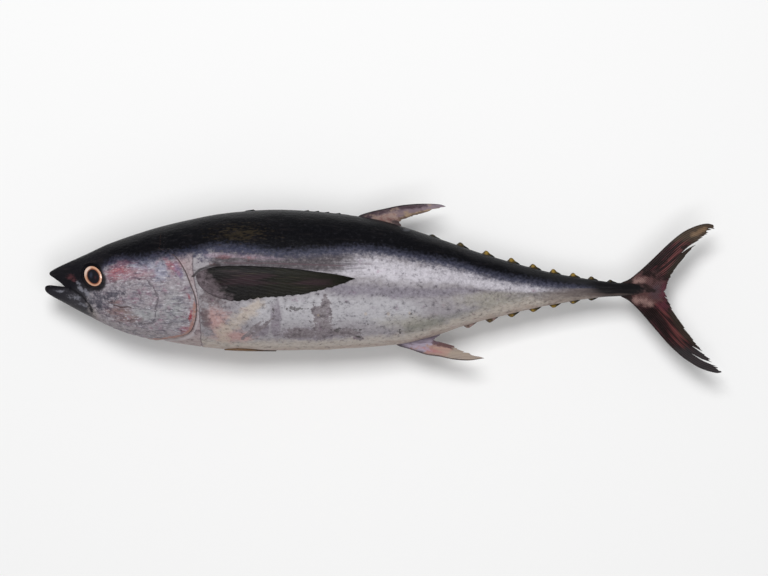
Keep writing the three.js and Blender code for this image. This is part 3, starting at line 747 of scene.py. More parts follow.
# Flesh at the root, then maroon to black with pink along the rays; the tips are tan above and grey below.
TAIL_LAYERS = [
    ("#411f26", "ray_tone", 0.1, 1.3, 0.85, "mottle", 0.3),
    ("#74403f", "pink_streak", 0.3, 1.3, 0.8, "ray_tone", 0.55),
    ("#0d090a", "black_patches", 0.0, 0.45, 0.92, "fine", 0.35),
    ("#2b271f", "rear_zone", 0.1, 0.8, 0.85, "mottle", 0.25),
    ("#4a4034", "upper_tip", 0.0, 0.7, 0.9, "mottle", 0.25),
    ("#8c735a", "tan_streak", 0.1, 1.0, 0.8, "fine", 0.4),
    ("#2f2f31", "lower_tip", 0.0, 0.7, 0.92, "mottle", 0.25),
    ("#644747", "flesh", 0.0, 0.7, 0.9, "mottle", 0.45),
    ("#a98a84", "pale_flesh", -0.1, 0.9, 0.8, "fine", 0.5),
    ("#4d3f47", "grey_flesh", 0.1, 0.8, 0.85, "mottle", 0.4),
    ("#5b2b3a", "fork", 0.1, 0.9, 0.75, "fine", 0.4),
    ("#1d191a", "stalk_end", 0.0, 0.5, 0.93, "fine", 0.45),
    ("#141112", "chord", 0.07, 0.01, 0.8),
]
# A dark membrane, orange brown near its root.
PELVIC_LAYERS = [
    ("#a0764c", "reach", 0.9, 0.4, 0.6, "mottle", 0.3),
    ("#15110f", None, 0.1, 1.2, 0.6, "mottle"),
]


def finlet_material(settings):
    """A wet finlet: a stiff scrap of skin over short rays, yellow with a black edge, or flesh pink where
    it is bruised. The pigment is in grains, so the yellow is speckled with brown."""
    paint = Paint("finlet_membrane", "#100e0d")
    paint.layer("#a08884", "finlet_pink", 0.1, 0.6, 0.9, "fine", 0.2)
    paint.layer("#3f3315", "finlet_yellow", -0.9, -0.2, 0.9, "fine", 0.2)
    paint.layer(settings.finlet, "finlet_yellow", 0.1, 0.75, 0.9, "fine", 0.25)
    paint.layer("#4f3d15", "finlet_yellow", 0.3, 1.3, 0.75, "speckle", 0.9)
    return paint.finish([("speckle", 0.3)], 0.3, FIN_FILM)


def crest_material():
    """The folded dorsal spines: hard rays in black skin, wet and packed in their groove. The eye sees a
    near-black ridge with a faint gloss."""
    paint = Paint("folded_spines", "#111012")
    paint.layer("#353333", None, 0.2, 1.4, 0.5, "fine")
    return paint.finish([("speckle", 0.3)], 0.3, FIN_FILM)


def table_material():
    """A matt white table top: pressed laminate, whose fine texture scatters light evenly, so the eye sees
    no gloss."""
    paint = Paint("white_laminate", "#f4f4f4")
    return paint.finish([], 0, {"Roughness": 0.75})


# ---- Head and trunk ----------------------------------------------------------------------------------------


def lip_start(around):
    """Where a meridian starts on the lips: at the jaw's tip on the middle, at the mouth's corner on the
    flank."""
    upper = around <= np.pi / 2
    tip = np.where(upper, SNOUT_X, 0)
    share = np.where(upper, around, np.pi - around) / (np.pi / 2)
    return tip + (CORNER_X - tip) * share**2 + 0.05


def trunk_section(x, around):
    """Height and half-width of the outer skin. Each section is a superellipse about the widest line, with a
    keel on the stalk. Ahead of the mouth's corner each jaw's section is an arch that ends at its lip."""
    upper = around <= np.pi / 2
    tip = np.where(upper, SNOUT_X, 0)
    in_jaw = x < CORNER_X
    share = np.where(in_jaw, np.maximum(x - tip, 0) / (CORNER_X - tip), 1)
    from_ridge = np.where(upper, around, np.pi - around)
    angle = np.minimum(from_ridge / np.maximum(np.sqrt(share), 1e-9), np.pi / 2)
    base = np.where(in_jaw, np.where(upper, upper_lip(x), lower_lip(x)), widest_line(x))
    ridge = np.where(upper, back(x), belly(x))
    width = np.where(in_jaw, half_width(CORNER_X) * share**0.55, half_width(x))
    into = np.clip((x - TRUNK_END + END_ROUNDING) / END_ROUNDING, 0, 1)
    end = np.sqrt(1 - into**2)
    along = (x - KEEL["x"]) / KEEL["half_length"]
    keel = np.where(np.abs(along) < 1, KEEL["height"] * (1 - along**2) ** 2, 0)
    rise = np.maximum(np.cos(angle), 0) ** (2 / SECTION)
    spread = np.maximum(np.sin(angle), 0) ** (2 / SECTION)
    side = width * spread * end + keel * np.sin(angle) ** KEEL["sharpness"]
    return base + (ridge - base) * rise * end, side


def in_pectoral(x, y):
    """Distance inside the pectoral fin's outline: the smaller of the distances to its two edges, by
    height."""
    beside = (x > PECTORAL_ROOT - 2) & (x < PECTORAL_TIP)
    return np.minimum(pectoral_upper(x) - y, y - pectoral_lower(x)) * beside


def relief(x, y):
    """How far the skin stands out from the plain section, in millimetres: the sum of a term for each
    feature."""
    on_side = smooth(0, 12, back(x) - y - 6)
    # The gill cover swells towards its rear edge and drops off there into a groove.
    d = behind(x, y, gill_edge)
    fade = smooth(62, 50, y) * smooth(100, 130, x)
    plate = np.where(d < 0, 1.6 * np.exp(np.minimum(d, 0) / 22), 0) * smooth(0.6, -1.4, d)
    rise = fade * (plate - 1.7 * bell(d - 1.4, 1.7))
    # The shoulder behind it rises at a small step.
    after = behind(x, y, shoulder)
    step = smooth(-1.5, 1.2, after) * np.exp(-np.maximum(after, 0) / 14)
    rise += 0.6 * fade * (step - bell(after + 1, 1.3))
    # The cheek: a plate with a sunken edge, a crease, the jaw's fold and the upper jaw's bone.
    cheek = crease(x, y, CHEEK_EDGE)[0]
    rise += 0.7 * bell(cheek, 9) * smooth(3, -3, x - 170) - 1.1 * bell(cheek, 1.7)
    rise -= 0.9 * bell(crease(x, y, CHEEK_CREASE)[0], 1.4)
    rise -= 1.7 * bell(crease(x, y, JAW_FOLD)[0], 1.9)
    rise += 1.2 * bell(crease(x, y, MAXILLA)[0] - 2, 3.4) * smooth(28, 40, x)
    # The nostril, and the eye's socket with a rim round it.
    rise -= 1.0 * bell(np.hypot(x - NOSTRIL[0], y - NOSTRIL[1]), 2.0)
    eye = eye_distance(x, y)
    rise += 1.7 * bell((eye - 1.12) * 14, 2.6) - 3.2 * smooth(1.02, 0.85, eye)
    # The lateral line, the swelling at the pectoral fin's root and the hump behind the second dorsal fin.
    rise += 0.35 * bell(y - lateral_line(x), 1.1) * smooth(226, 240, x) * smooth(720, 600, x)
    rise += 1.6 * blob(x, y, (238, 12), (22, 20)).clip(0, 1) * on_side
    rise += 1.5 * blob(x, y, HUMP, (9, 4)).clip(0, 1)
    # Soft lumps of flesh all over, and wrinkles on the cheek.
    lumps = waves(x, y, 3, 46) * 0.28 + waves(x * 0.5, y, 4, 15) * 0.10
    rise += lumps * smooth(40, 110, x) * smooth(880, 800, x) * on_side
    rise += 0.24 * waves(x * 0.6, y * 1.8, 8, 8) * smooth(218, 195, x) * smooth(85, 100, x) * on_side
    return rise


def skin_fields(x, y, around):
    """Every field that the skin's paint reads, worked out from a place's x and y."""
    depth = back(x) - y
    share = depth / np.maximum(back(x) - belly(x), 1)
    below = depth - dark_depth(x)
    ahead = -behind(x, y, gill_edge)
    eye = eye_distance(x, y)
    gill_top = smooth(58, 50, y)
    bright = silver_depth(x)
    spots = partial(blobs, x, y)
    return {
        # The flank, from the back down to the belly.
        "pale_flank": bell(share - 0.71, 0.12) * smooth(255, 330, x) * (1 - smooth(500, 600, x)),
        # Painted shade along the middle of the flank and under the pectoral fin's tip.
        "dull_band": bell(share - 0.56, 0.06) * smooth(385, 440, x) * smooth(770, 700, x),
        "low_shade": bell(share - 0.87, 0.09) * smooth(490, 560, x),
        "rear_tone": smooth(600, 680, x) * smooth(0.48, 0.62, share),
        "silver": bell(below - bright, 0.72 * bright) * silver_band(x),
        "speckled": bell(below - 8, 24) * smooth(235, 262, x) * smooth(830, 740, x),
        "belly_yellow": spots(((655, -18), (95, 22)), ((540, -50), (80, 18))),
        # The belly's lower edge, whose pale band is partly painted light.
        "belly_edge": 12 - (y - belly(x)),
        # Behind the gill cover.
        "pink_patch": spots(((257, -44), (24, 26), 0.3), ((278, -70), (44, 13), 0.2)),
        "yellow_patch": 1 - crease(x, y, [(266, -74), (264, -64), (318, -24)])[0] / 14,
        # Scaly brown round the pectoral fin's root: the skin's own colour, darkened as painted shade.
        "root_shade": spots(((251, -6), (36, 38)), ((240, -40), (12, 34)))
        * smooth(-1, 3, behind(x, y, shoulder)),
        # Stains and flecks on the belly.
        "soft_stains": -0.1 + spots(
            ((343, -46), (12, 38)), ((320, -62), (20, 14), -0.8), ((392, -66), (66, 13))),
        "stains": spots(
            ((411, -47), (17, 29), 0.05), ((416, -26), (8, 20)), ((378, -66), (33, 8.5), 0.2),
            ((447, -65), (26, 6.5), 1.2), ((462, -71), (9, 4.5), 0.8), ((308, -61), (5, 17), -1.1),
            ((322, -58), (4.5, 15), -1.1)) + 0.1 * waves(x, y, 12, 22) * (x > 330),
        "smudge": 1 - crease(x, y, [(536, -60), (584, -47)])[0] / 11,
        "tan_spots": spots(
            ((474, -37), (4, 4)), ((507, -37), (4, 5)), ((405, -39), (4, 3)), ((538, -36), (3, 4))),
        "dark_flecks": spots(
            ((432, -60), (12, 4)), ((462, -61), (10, 3)), ((524, -62), (2.5, 9)), ((541, -38), (2, 8)),
            ((372, -30), (22, 5), 0.6), ((476, -52), (5, 2.5)), ((340, -30), (4, 7)),
            ((463, -71), (7, 3.5), 0.8)),
        # The upper flank above the pectoral fin.
        "upper_flank": smooth(-6, 6, below) * smooth(20, 30, y) * smooth(238, 262, x) * smooth(500, 410, x),
        "upper_purple": spots(((300, 58), (80, 13), 0.1), ((214, 58), (30, 14)), ((238, 50), (20, 14))),
        "pink_glint": bell(y - 47 + 0.05 * (x - 275), 4.5) * smooth(232, 250, x) * smooth(400, 320, x),
        "upper_red": spots(((268, 46), (18, 5)), ((306, 44), (15, 4)), ((250, 34), (10, 3))),
        # The head.
        "on_head": smooth(-1.5, 1.5, ahead) * smooth(60, 90, x),
        "temple": spots(((148, 34), (36, 15), 0.3), ((176, 26), (18, 22))),
        # The cheek's grey plate, lighter behind its edge as painted light.
        "cheek_plate": spots(((150, -38), (44, 16)), ((195, -30), (26, 40))),
        "blush_trail": spots(((140, 22), (36, 13)), ((200, 34), (14, 16), -0.4)),
        "blush": spots(((112, 25), (26, 20), -0.2), ((122, 39), (28, 7))),
        "cheek_brown": spots(((112, -34), (30, 9), 0.2), ((126, -44), (30, 8)), ((108, -20), (18, 4))),
        "gill_purple": bell(ahead - 8, 6) * bell(y - 26, 14),
        "gill_pink": bell(ahead - 14, 7) * bell(y - 37, 12) + 0.6 * bell(ahead - 9, 8) * bell(y + 58, 9),
        "shoulder_skin": smooth(1, -1, ahead) * smooth(2, -2, behind(x, y, shoulder)) * smooth(60, 48, y),
        "jaw_shade": spots(((84, -18), (26, 26), 0.3), ((104, -8), (28, 10))),
        "jaw": 66 - x - 0.5 * (y + 20) * (y < -20),
        # The back.
        "dark_back": -below,
        "olive": blob(x, y, (292, 80), (62, 19)),
        # A grey rim along the back's edge: painted highlight.
        "back_edge": 10 - depth,
        # The snout and jaws.
        "snout": 68 - x + 0.45 * np.clip(y + 12, -40, 60) - 30 * (around > np.pi / 2) * smooth(-2, -10, y),
        "lower_jaw": (around > np.pi / 2) * smooth(76, 50, x) * smooth(3, -6, y) * smooth(0, 14, x),
        "eye_socket": 1.45 - eye + 0.2 * smooth(70, 92, x) * smooth(24, 0, y),
        "nostril_mark": spots((NOSTRIL, (8, 6)), ((45, 13), (6, 5))),
        # Silver grey marks on the upper and lower jaw: painted highlights.
        "jaw_marks": spots(((56, 1), (6, 12), 0.5), ((65, -6), (5, 12), 0.6), ((46, -13), (16, 6), 0.7),
                           ((60, -24), (12, 5), 0.7), ((24, -4), (16, 3))),
        # The red ahead of the gill cover's edge, then lines, each where its signed distance passes zero.
        "gill_red": bell(ahead - 8, 3.6) * (0.85 * bell(y + 12, 8) + 1.2 * bell(y + 38, 12))
        + 0.6 * bell(ahead - 7, 5) * bell(y + 62, 8),
        "gill_rim": fading(ahead - 2.6, smooth(14, -24, y)),
        "gill_lip": fading(ahead + 3.4, smooth(26, 6, y)),
        # Painted shade in the slit under the gill cover's rear edge.
        "gill_slit": fading(ahead, gill_top),
        "shoulder_line": fading(behind(x, y, shoulder), gill_top),
        # Painted shade along the cheek plate's sunken edge.
        "cheek_edge": crease(x, y, CHEEK_EDGE)[1],
        "cheek_crease": crease(x, y, CHEEK_CREASE)[1],
        # Painted shade in the fold of the lower jaw.
        "jaw_fold": crease(x, y, JAW_FOLD)[1],
        "lateral": fading(y - lateral_line(x), smooth(236, 270, x) * smooth(500, 440, x)),
        # Painted shade on the skin along the pectoral fin's upper root.
        "fin_fold": crease(x, y, [(218, 12), (226, 21), (236, 28), (250, 32.5), (275, 34)])[1],
        # The hump on the back, whose grey patch is a painted highlight, and the stalk.
        "hump": blob(x, y, HUMP, (10, 4), -0.3),
        "stalk": x - 806 - 1.6 * (-y - 2).clip(0, 20),
        "stalk_shade": smooth(690, 800, x) * smooth(0.42, 0.55, share)
        * (1 - 0.5 * smooth(0.75, 0.95, share)),
        "stalk_flesh": 2 * (np.abs(y + 1) - 4) + x - 882,
        "stalk_pale": spots(((842, -9.5), (40, 3.2)), ((815, -9), (40, 4))),
        "mouth": np.zeros_like(x),
    }


def add_trunk(settings):
    """The head, trunk and stalk. Rings of meridians run from the lips to the tail's root, and on from the
    lips into the mouth, where they close at the throat."""
    around_count, ring_count, mouth_rings = settings.around, settings.rings, 8
    last_share = 0.9985  # the last ring lies just ahead of the pole at the end
    crowding = 1.45  # rings lie closer together towards the head
    turn = 2 * np.pi * np.arange(around_count) / around_count
    around = np.minimum(turn, 2 * np.pi - turn)
    flank = np.where(turn <= np.pi, 1, -1)
    share = np.minimum(np.arange(ring_count + 1) / ring_count, last_share)[:, None] ** crowding
    start = lip_start(around)
    x = start + (TRUNK_END - start) * share
    y, side = trunk_section(x, around[None, :])
    plain = np.stack([x, y, side * flank], -1)
    along = np.gradient(plain, axis=0)
    across = np.roll(plain, -1, axis=1) - np.roll(plain, 1, axis=1)
    normal = np.cross(across, along)
    normal /= np.maximum(np.linalg.norm(normal, axis=-1, keepdims=True), 1e-9)
    lips = smooth(0, 0.02, share)
    skin = plain + normal * (relief(x, y) * lips)[..., None]
    # The right flank stops at the table, and above it where the pectoral fin lies between the two.
    ends = smooth(PECTORAL_ROOT, PECTORAL_ROOT + 14, x) * smooth(PECTORAL_TIP + 2, PECTORAL_TIP - 4, x)
    hollow = 2.9 * smooth(-1.5, 1.5, in_pectoral(x, y)) * ends
    skin[..., 2] = np.maximum(skin[..., 2], np.where(flank < 0, hollow - BED_MM, -BED_MM * 2))
    fields = {k: np.broadcast_to(v, x.shape) for k, v in skin_fields(x, y, around[None, :]).items()}
    inward = (np.arange(mouth_rings - 1, 0, -1) / mouth_rings)[:, None, None] ** 1.6
    mouth = skin[:1] * (1 - inward) + np.array(THROAT) * inward
    skin = np.concatenate([mouth, skin])
    fields = {k: np.concatenate([np.repeat(v[:1], mouth_rings - 1, axis=0), v]) for k, v in fields.items()}
    fields["mouth"][: mouth_rings - 2] = 1
    rings = len(skin)
    poles = np.array([THROAT, (TRUNK_END, widest_line(TRUNK_END), 0)])
    points = np.concatenate([skin.reshape(-1, 3), poles])
    flat = {k: np.concatenate([v.ravel(), v[0, :1], v[-1, :1]]) for k, v in fields.items()}
    add_piece("head_and_trunk", in_frame(*points.T), tube_faces(rings, around_count), flat,
              skin_material(settings), "skin", "body")


# ---- Eyes --------------------------------------------------------------------------------------------------


def add_eye(name, flank, material):
    """A domed eye: rings of an ellipse from its rim, under the skin, to the middle of the cornea, and
    back behind. Its rise above the socket falls off as the square root does towards the rim."""
    rings, around = 34, 72
    under, rise, depth = 3.4, 4.6, 5  # the rim under the skin, and the domes before and behind the rim
    wider = 1.1  # the rim is that much wider than the ring that shows, so the socket hides it
    angle = -2 * np.pi * np.arange(around) / around * flank
    share = np.sin(np.linspace(0, np.pi, rings + 2)[1:-1])[:, None]
    facing = np.where(np.arange(rings) < rings / 2, 1, -1)[:, None]
    v = share * np.sin(angle) * EYE["half_height"] * wider
    u = share * np.cos(angle) * EYE["half_width"] * wider - EYE["lean"] * v
    x, y = EYE["x"] + u, EYE["y"] + v
    dome = np.sqrt(1 - np.minimum(share, 1) ** 2)
    side = flank_at(x, y) - under + np.where(facing > 0, rise, -depth) * dome
    fields = {
        "iris_share": eye_distance(x, y),
        # A paler patch on the ring's upper left: painted highlight.
        "iris_highlight": blob(x, y, (EYE["x"] - 9, EYE["y"] + 8), (7, 12), -0.3),
        "pupil_share": -blob(x, y, (EYE["x"] + 0.8, EYE["y"] - 0.6), (8.4, 9.9), EYE["lean"]),
        # A blue grey patch in the pupil: painted reflection.
        "pupil_reflection": blob(x, y, (EYE["x"] - 2.5, EYE["y"] + 1.5), (3.6, 6.5)),
        "pupil_warm": blob(x, y, (EYE["x"] + 4, EYE["y"] - 2), (3, 4)),
    }
    rim = flank_at(EYE["x"], EYE["y"]) - under
    poles = [in_frame(EYE["x"], EYE["y"], flank * pole) for pole in (rim + rise, rim - depth)]
    points = np.concatenate([in_frame(x, y, flank * side).reshape(-1, 3), poles])
    flat = {k: np.concatenate([f.ravel(), f[0, :1], f[-1, :1]]) for k, f in fields.items()}
    add_piece(name, points, tube_faces(rings, around), flat, material, "eye", name)


# ---- Fins --------------------------------------------------------------------------------------------------


def lens_half(fields, root, tip):
    """Half the thickness of a blade: from root to tip by reach, falling to nothing at its edges, with a
    ripple over its rays."""
    reach, chord = fields["reach"], fields["chord"]
    edge = np.clip(4 * chord * (1 - chord), 0, 1) ** 0.35
    end = np.linspace(1, 0, reach.shape[0])[:, None] ** 0.25
    return (root + (tip - root) * reach) * edge * end * (1 + 0.10 * fields["ray_wave"]) + 0.12


def add_rays(fields, pitch, seed):
    """Adds the wave over the rays, one crest to each pitch in millimetres, a tone that streaks along
    them, and the rim, which is 1 at a free edge."""
    reach = fields["reach"]
    fields["ray_wave"] = np.sin(2 * np.pi * fields["ray"] / pitch) * np.ones_like(reach)
    fields["ray_tone"] = waves(fields["ray"], 9 * reach, seed, 3.6)
    end = np.linspace(0, 1, reach.shape[0])[:, None]
    fields["rim"] = np.maximum(end**8, 1 - smooth(0, 0.08, 1 - fields["chord"]))
    fields["rear_zone"] = smooth(0.55, 0.95, fields["chord"]) * smooth(0.2, 0.4, reach)
    return fields


def add_median_fin(name, edges, seed, material, curl):
    """A fin in the plane of symmetry, bent to one side by curl millimetres at its tip."""
    x, y, fields = ray_grid(edges["leading"], edges["trailing"], 90, 110, FIN_TEARS, 0.07, seed)
    reach, chord = add_rays(fields, 2.2, seed)["reach"], fields["chord"]
    fields["root_zone"] = smooth(0.5, 0.25, reach) * smooth(0.2, 0.5, chord)
    fields["heel"] = smooth(0.6, 0.95, chord) * smooth(0.34, 0.2, reach)
    fields["blush"] = bell(chord - 0.3, 0.2) * bell(reach - 0.43, 0.14)
    middle = curl * reach**2 + 0.35 * waves(x, y, seed, 18) * smooth(0.2, 0.6, reach)
    blade = lens(in_frame, x, y, middle, lens_half(fields, 2.4, 0.5), fields)
    add_piece(name, *blade, material, "median_fin", name)


def tail_fields(x, y):
    """Where the tail's colours lie, besides the rays."""
    spots = partial(blobs, x, y)
    upper, lower = [(912, 27), (930, 50), (949, 74)], [(905, -24), (925, -56), (945, -87)]
    streak = np.minimum(crease(x, y, upper)[0], crease(x, y, lower)[0])
    return {
        "pink_streak": 1 - streak / 10,
        "black_patches": spots(
            ((892, 21), (12, 8), 0.8), ((896, -37), (11, 13), -0.5), ((902, 38), (18, 6), -0.9),
            ((911, -58), (6, 20), 0.7), ((930, 26), (8, 14), -0.4), ((946, 60), (10, 5))),
        "upper_tip": smooth(62, 82, y),
        "tan_streak": 1 - crease(x, y, [(956, 78), (974, 88)])[0] / 6,
        "lower_tip": smooth(-78, -100, y),
        "flesh": 1.25 - np.hypot((x - 876) / 46, (y + 3) / 26),
        "pale_flesh": spots(((876, 11), (14, 7), -0.6), ((876, -17), (22, 7), 0.5), ((893, -22), (10, 6))),
        "grey_flesh": spots(((902, -2), (15, 17))),
        "fork": spots(((914, -4), (12, 26)), ((912, -26), (16, 12), 0.6)),
        "stalk_end": np.maximum(spots(((880, 1), (22, 8)), ((892, -3), (14, 4))), (870 - x) / 9),
    }


def tail_lobe(edges, tears, seed, apart):
    """One crescent lobe of the tail as a blade: its points, faces and fields."""
    x, y, fields = ray_grid(edges["leading"], edges["trailing"], 130, 190, tears, 0.075, seed)
    add_rays(fields, 2.6, seed).update(tail_fields(x, y))
    middle = 0.5 * waves(x, y, seed, 30) * smooth(0.2, 0.8, fields["reach"]) + apart
    return lens(in_frame, x, y, middle, lens_half(fields, 3.2, 0.6), fields)


def add_tail(material):
    """The tail as one piece: two crescent lobes that cross at the root, 0.3 mm to either side of the
    middle, their rear edges torn between the rays."""
    upper, upper_faces, upper_fields = tail_lobe(TAIL_UPPER, TAIL_UPPER_TEARS, 5, 0.3)
    lower, lower_faces, lower_fields = tail_lobe(TAIL_LOWER, TAIL_LOWER_TEARS, 6, -0.3)
    faces = upper_faces + [f + len(upper) for f in lower_faces]
    fields = {k: np.concatenate([v, lower_fields[k]]) for k, v in upper_fields.items()}
    add_piece("caudal_fin", np.concatenate([upper, lower]), faces, fields, material, "tail_fin", "caudal_fin")


def add_pectoral(name, flank, material):
    """A pectoral fin folded on the flank: a grid from root to tip and from upper to lower edge, lifted
    off the skin by its own thickness. On the right it is pressed between flank and table."""
    reach, chord = np.meshgrid(np.linspace(0, 1, 170), np.linspace(0, 1, 70), indexing="ij")
    root, tip = PECTORAL_ROOT + 0.5, PECTORAL_TIP - 0.5
    x = root + (tip - root) * reach**1.15
    fray = 0.8 * waves(x, chord * 0, 31, 9) * smooth(0.15, 0.3, reach) * smooth(0.5, 1, chord)
    top, bottom = pectoral_upper(x), pectoral_lower(x)
    y = top + (bottom - top) * chord + fray * (1 - smooth(0.9, 1, reach))
    arch = 1.2 * np.sin(np.pi * reach) * smooth(0, 0.2, chord) * (1 - 0.4 * chord)
    lift = 1.0 * smooth(0, 0.12, reach) + arch
    half = (1.5 - 1.1 * reach) * np.clip(4 * chord * (1 - chord), 0, 1) ** 0.35 * smooth(0, 0.05, reach)
    ray_count = 26
    rays = (chord - 0.15 * reach) * ray_count
    fields = {
        "reach": reach, "ray_wave": np.sin(2 * np.pi * rays), "ray_tone": waves(rays, 5 * reach, 9, 1.2),
        "rim": np.maximum(1 - smooth(0, 0.12, chord), smooth(0.45, 0.6, reach) - smooth(0, 0.07, 1 - chord)),
        "purple_zone": np.maximum(blob(x, y, (298, 14), (56, 14)), blob(x, y, (400, 8), (40, 10))),
        "root_zone": 1 - (x - PECTORAL_ROOT - 0.9 * (22 - y).clip(0, 40)) / 26,
    }
    middle = flank_at(x, y) + lift + 0.1 * fields["ray_wave"] * smooth(0.05, 0.3, reach)
    if flank < 0:
        middle = np.minimum(middle, BED_MM - 1.6)
    add_piece(name, *lens(in_frame, x, y, flank * middle, half, fields), material, "dark_fin", name)


def add_pelvic(name, flank, material):
    """A pelvic fin folded back on the belly: a grid from root to tip and from inner to outer edge."""
    inner, outer = curve(PELVIC["inner"]), curve(PELVIC["outer"])
    reach, chord = np.meshgrid(np.linspace(0.01, 0.99, 60), np.linspace(0, 1, 30), indexing="ij")
    x = PELVIC_ROOT + (PELVIC_TIP - PELVIC_ROOT) * reach
    side = inner(x) + (outer(x) - inner(x)) * chord
    half = (1.3 - 0.7 * reach) * np.clip(4 * chord * (1 - chord), 0, 1) ** 0.4
    below = 0.8 - belly_at(x, side)
    ray_count = 9
    fields = {"reach": reach, "ray_wave": np.sin(2 * np.pi * chord * ray_count)}

    def place(x, side, down):
        return in_frame(x, -down, side)

    add_piece(name, *lens(place, x, flank * side, below, half, fields), material, "belly_fin", name)


def add_first_dorsal(material):
    """The folded first dorsal fin: a narrow crest in its groove, with the tips of spines along it."""
    share, up = np.meshgrid(np.linspace(0, 1, 320), np.linspace(0, 1, 14), indexing="ij")
    x = FIRST_DORSAL["start"] + (FIRST_DORSAL["end"] - FIRST_DORSAL["start"]) * share
    crest = 0.5 + np.zeros_like(x)
    for spine in FIRST_DORSAL["spines"]:
        length = 20 if spine == FIRST_DORSAL["spines"][0] else 7  # the first spine is the longest
        ramp = np.clip((x - spine) / length + 0.75, 0, 1)
        crest += 1.5 * ramp * smooth(spine + length * 0.35, spine + length * 0.18, x)
    crest *= smooth(0, 0.03, share) * smooth(1, 0.97, share)
    y = back(x) - FIRST_DORSAL["depth"] + (FIRST_DORSAL["depth"] + crest) * up
    half = 1.1 * np.clip(4 * share * (1 - share), 0, 1) ** 0.2 * (1 - up**6) + 0.02
    blade = lens(in_frame, x, y, np.zeros_like(x), half, {"reach": share})
    add_piece("first_dorsal_fin", *blade, material, "dark_fin", "first_dorsal_fin")


def add_finlets(prefix, finlets, edge, rise, shape, material):
    """Finlets: each a small blade whose height follows a profile along its length: a hump, that leans
    back, and a low tail behind it. yellow and pink say how much of it is coloured."""
    outline = curve(shape)
    sunk = 2.2  # how far the root lies under the trunk's edge
    for i, (peak, height, length, yellow, pink) in enumerate(finlets, 1):
        along, up = np.meshgrid(np.linspace(0, 1, 30), np.linspace(0, 1, 16), indexing="ij")
        x = peak + length * (along - 0.38) + 0.12 * length * up * (1 - along)
        y = edge(x) + rise * (-sunk + (height * outline(along) + sunk) * up)
        half = 1.1 * np.clip(4 * along * (1 - along), 0, 1) ** 0.5 * (1 - 0.8 * up)
        level = up * outline(along)
        hump = blob(along, level, (0.37, 0.62), (0.25, 0.55), -0.08)
        fields = {
            "finlet_yellow": hump - 1.2 * (1 - yellow),
            "finlet_pink": blob(along, level, (0.45, 0.4), (0.5, 1)) + pink - 1,
        }
        name = f"{prefix}_{i}"
        bent = 0.3 * np.sin(i * 2.1) * up
        add_piece(name, *lens(in_frame, x, y, bent, half, fields), material, "finlet", name)


# ---- Settings, operators and panel -------------------------------------------------------------------------


class TunaSettings(bpy.types.PropertyGroup):
    """The fish's colours, its wetness and how finely the trunk is divided."""

    back: FloatVectorProperty(name="Back", description="Colour of the dark back", size=3, subtype="COLOR",
                              default=linear("#09090b"))
    silver: FloatVectorProperty(name="Silver", description="Colour of the bright band on the flank", size=3,
                                subtype="COLOR", default=linear("#bdb9c1"))
    finlet: FloatVectorProperty(name="Finlets", description="Yellow of the finlets", size=3, subtype="COLOR",
                                default=linear("#94762a"))
    wetness: FloatProperty(name="Wetness", description="Strength of the film of water", default=0.25, min=0,
                           max=1, subtype="FACTOR")
    rings: IntProperty(name="Rings", description="Rings along the trunk", default=400, min=60, max=420)
    around: IntProperty(name="Around", description="Points round the trunk", default=236, min=36, max=240)


class StageSettings(bpy.types.PropertyGroup):
    """The camera and the lights."""

    lens: FloatProperty(name="Lens", description="Focal length of the camera", default=135, unit="CAMERA")
    frame_width: FloatProperty(name="Frame width", description="Width seen at the middle of the fish",
                               default=1.134, unit="LENGTH")
    key: FloatProperty(name="Key light", description="Power of the soft light on the back's side",
                       default=165, unit="POWER")
    fill: FloatProperty(name="Fill light", description="Power of the soft light on the belly's side",
                        default=68, unit="POWER")
    world: FloatProperty(name="Surroundings", description="Strength of the light from all round",
                         default=0.24)


class TUNA_OT_trunk(bpy.types.Operator):
    """Builds the head, trunk and stalk as one piece."""

    bl_idname = "tuna.trunk"
    bl_label = "Head and trunk"

    def execute(self, context):
        add_trunk(context.scene.tuna)
        return {"FINISHED"}


class TUNA_OT_eyes(bpy.types.Operator):
    """Builds the two eyes."""

    bl_idname = "tuna.eyes"
    bl_label = "Eyes"

    def execute(self, context):
        material = eye_material()
        add_eye("eye_left", 1, material)
        add_eye("eye_right", -1, material)
        return {"FINISHED"}


class TUNA_OT_paired_fins(bpy.types.Operator):
    """Builds the pectoral and pelvic fins."""

    bl_idname = "tuna.paired_fins"
    bl_label = "Paired fins"

    def execute(self, context):
        dark = fin_material("pectoral_membrane", "#131112", "#080707", "#2d2a28", PECTORAL_LAYERS)
        brown = fin_material("pelvic_membrane", "#2a2320", "#141010", "#7a5c44", PELVIC_LAYERS)
        for side, flank in (("left", 1), ("right", -1)):
            add_pectoral(f"pectoral_fin_{side}", flank, dark)
            add_pelvic(f"pelvic_fin_{side}", flank, brown)
        return {"FINISHED"}


class TUNA_OT_median_fins(bpy.types.Operator):
    """Builds the two dorsal fins, the anal fin and the tail."""

    bl_idname = "tuna.median_fins"
    bl_label = "Dorsal, anal and tail fins"

    def execute(self, context):
        add_first_dorsal(crest_material())
        dorsal = fin_material("dorsal_membrane", "#7d6c74", "#3a2c30", "#a99aa0", DORSAL_LAYERS)
        anal = fin_material("anal_membrane", "#a096a6", "#5c4a52", "#b9adb2", ANAL_LAYERS)
        add_median_fin("second_dorsal_fin", SECOND_DORSAL, 2, dorsal, 1.2)
        add_median_fin("anal_fin", ANAL, 3, anal, -1.0)
        add_tail(fin_material("tail_rays", "#1c1013", "#0d0809", "#5c3c3a", TAIL_LAYERS))
        return {"FINISHED"}


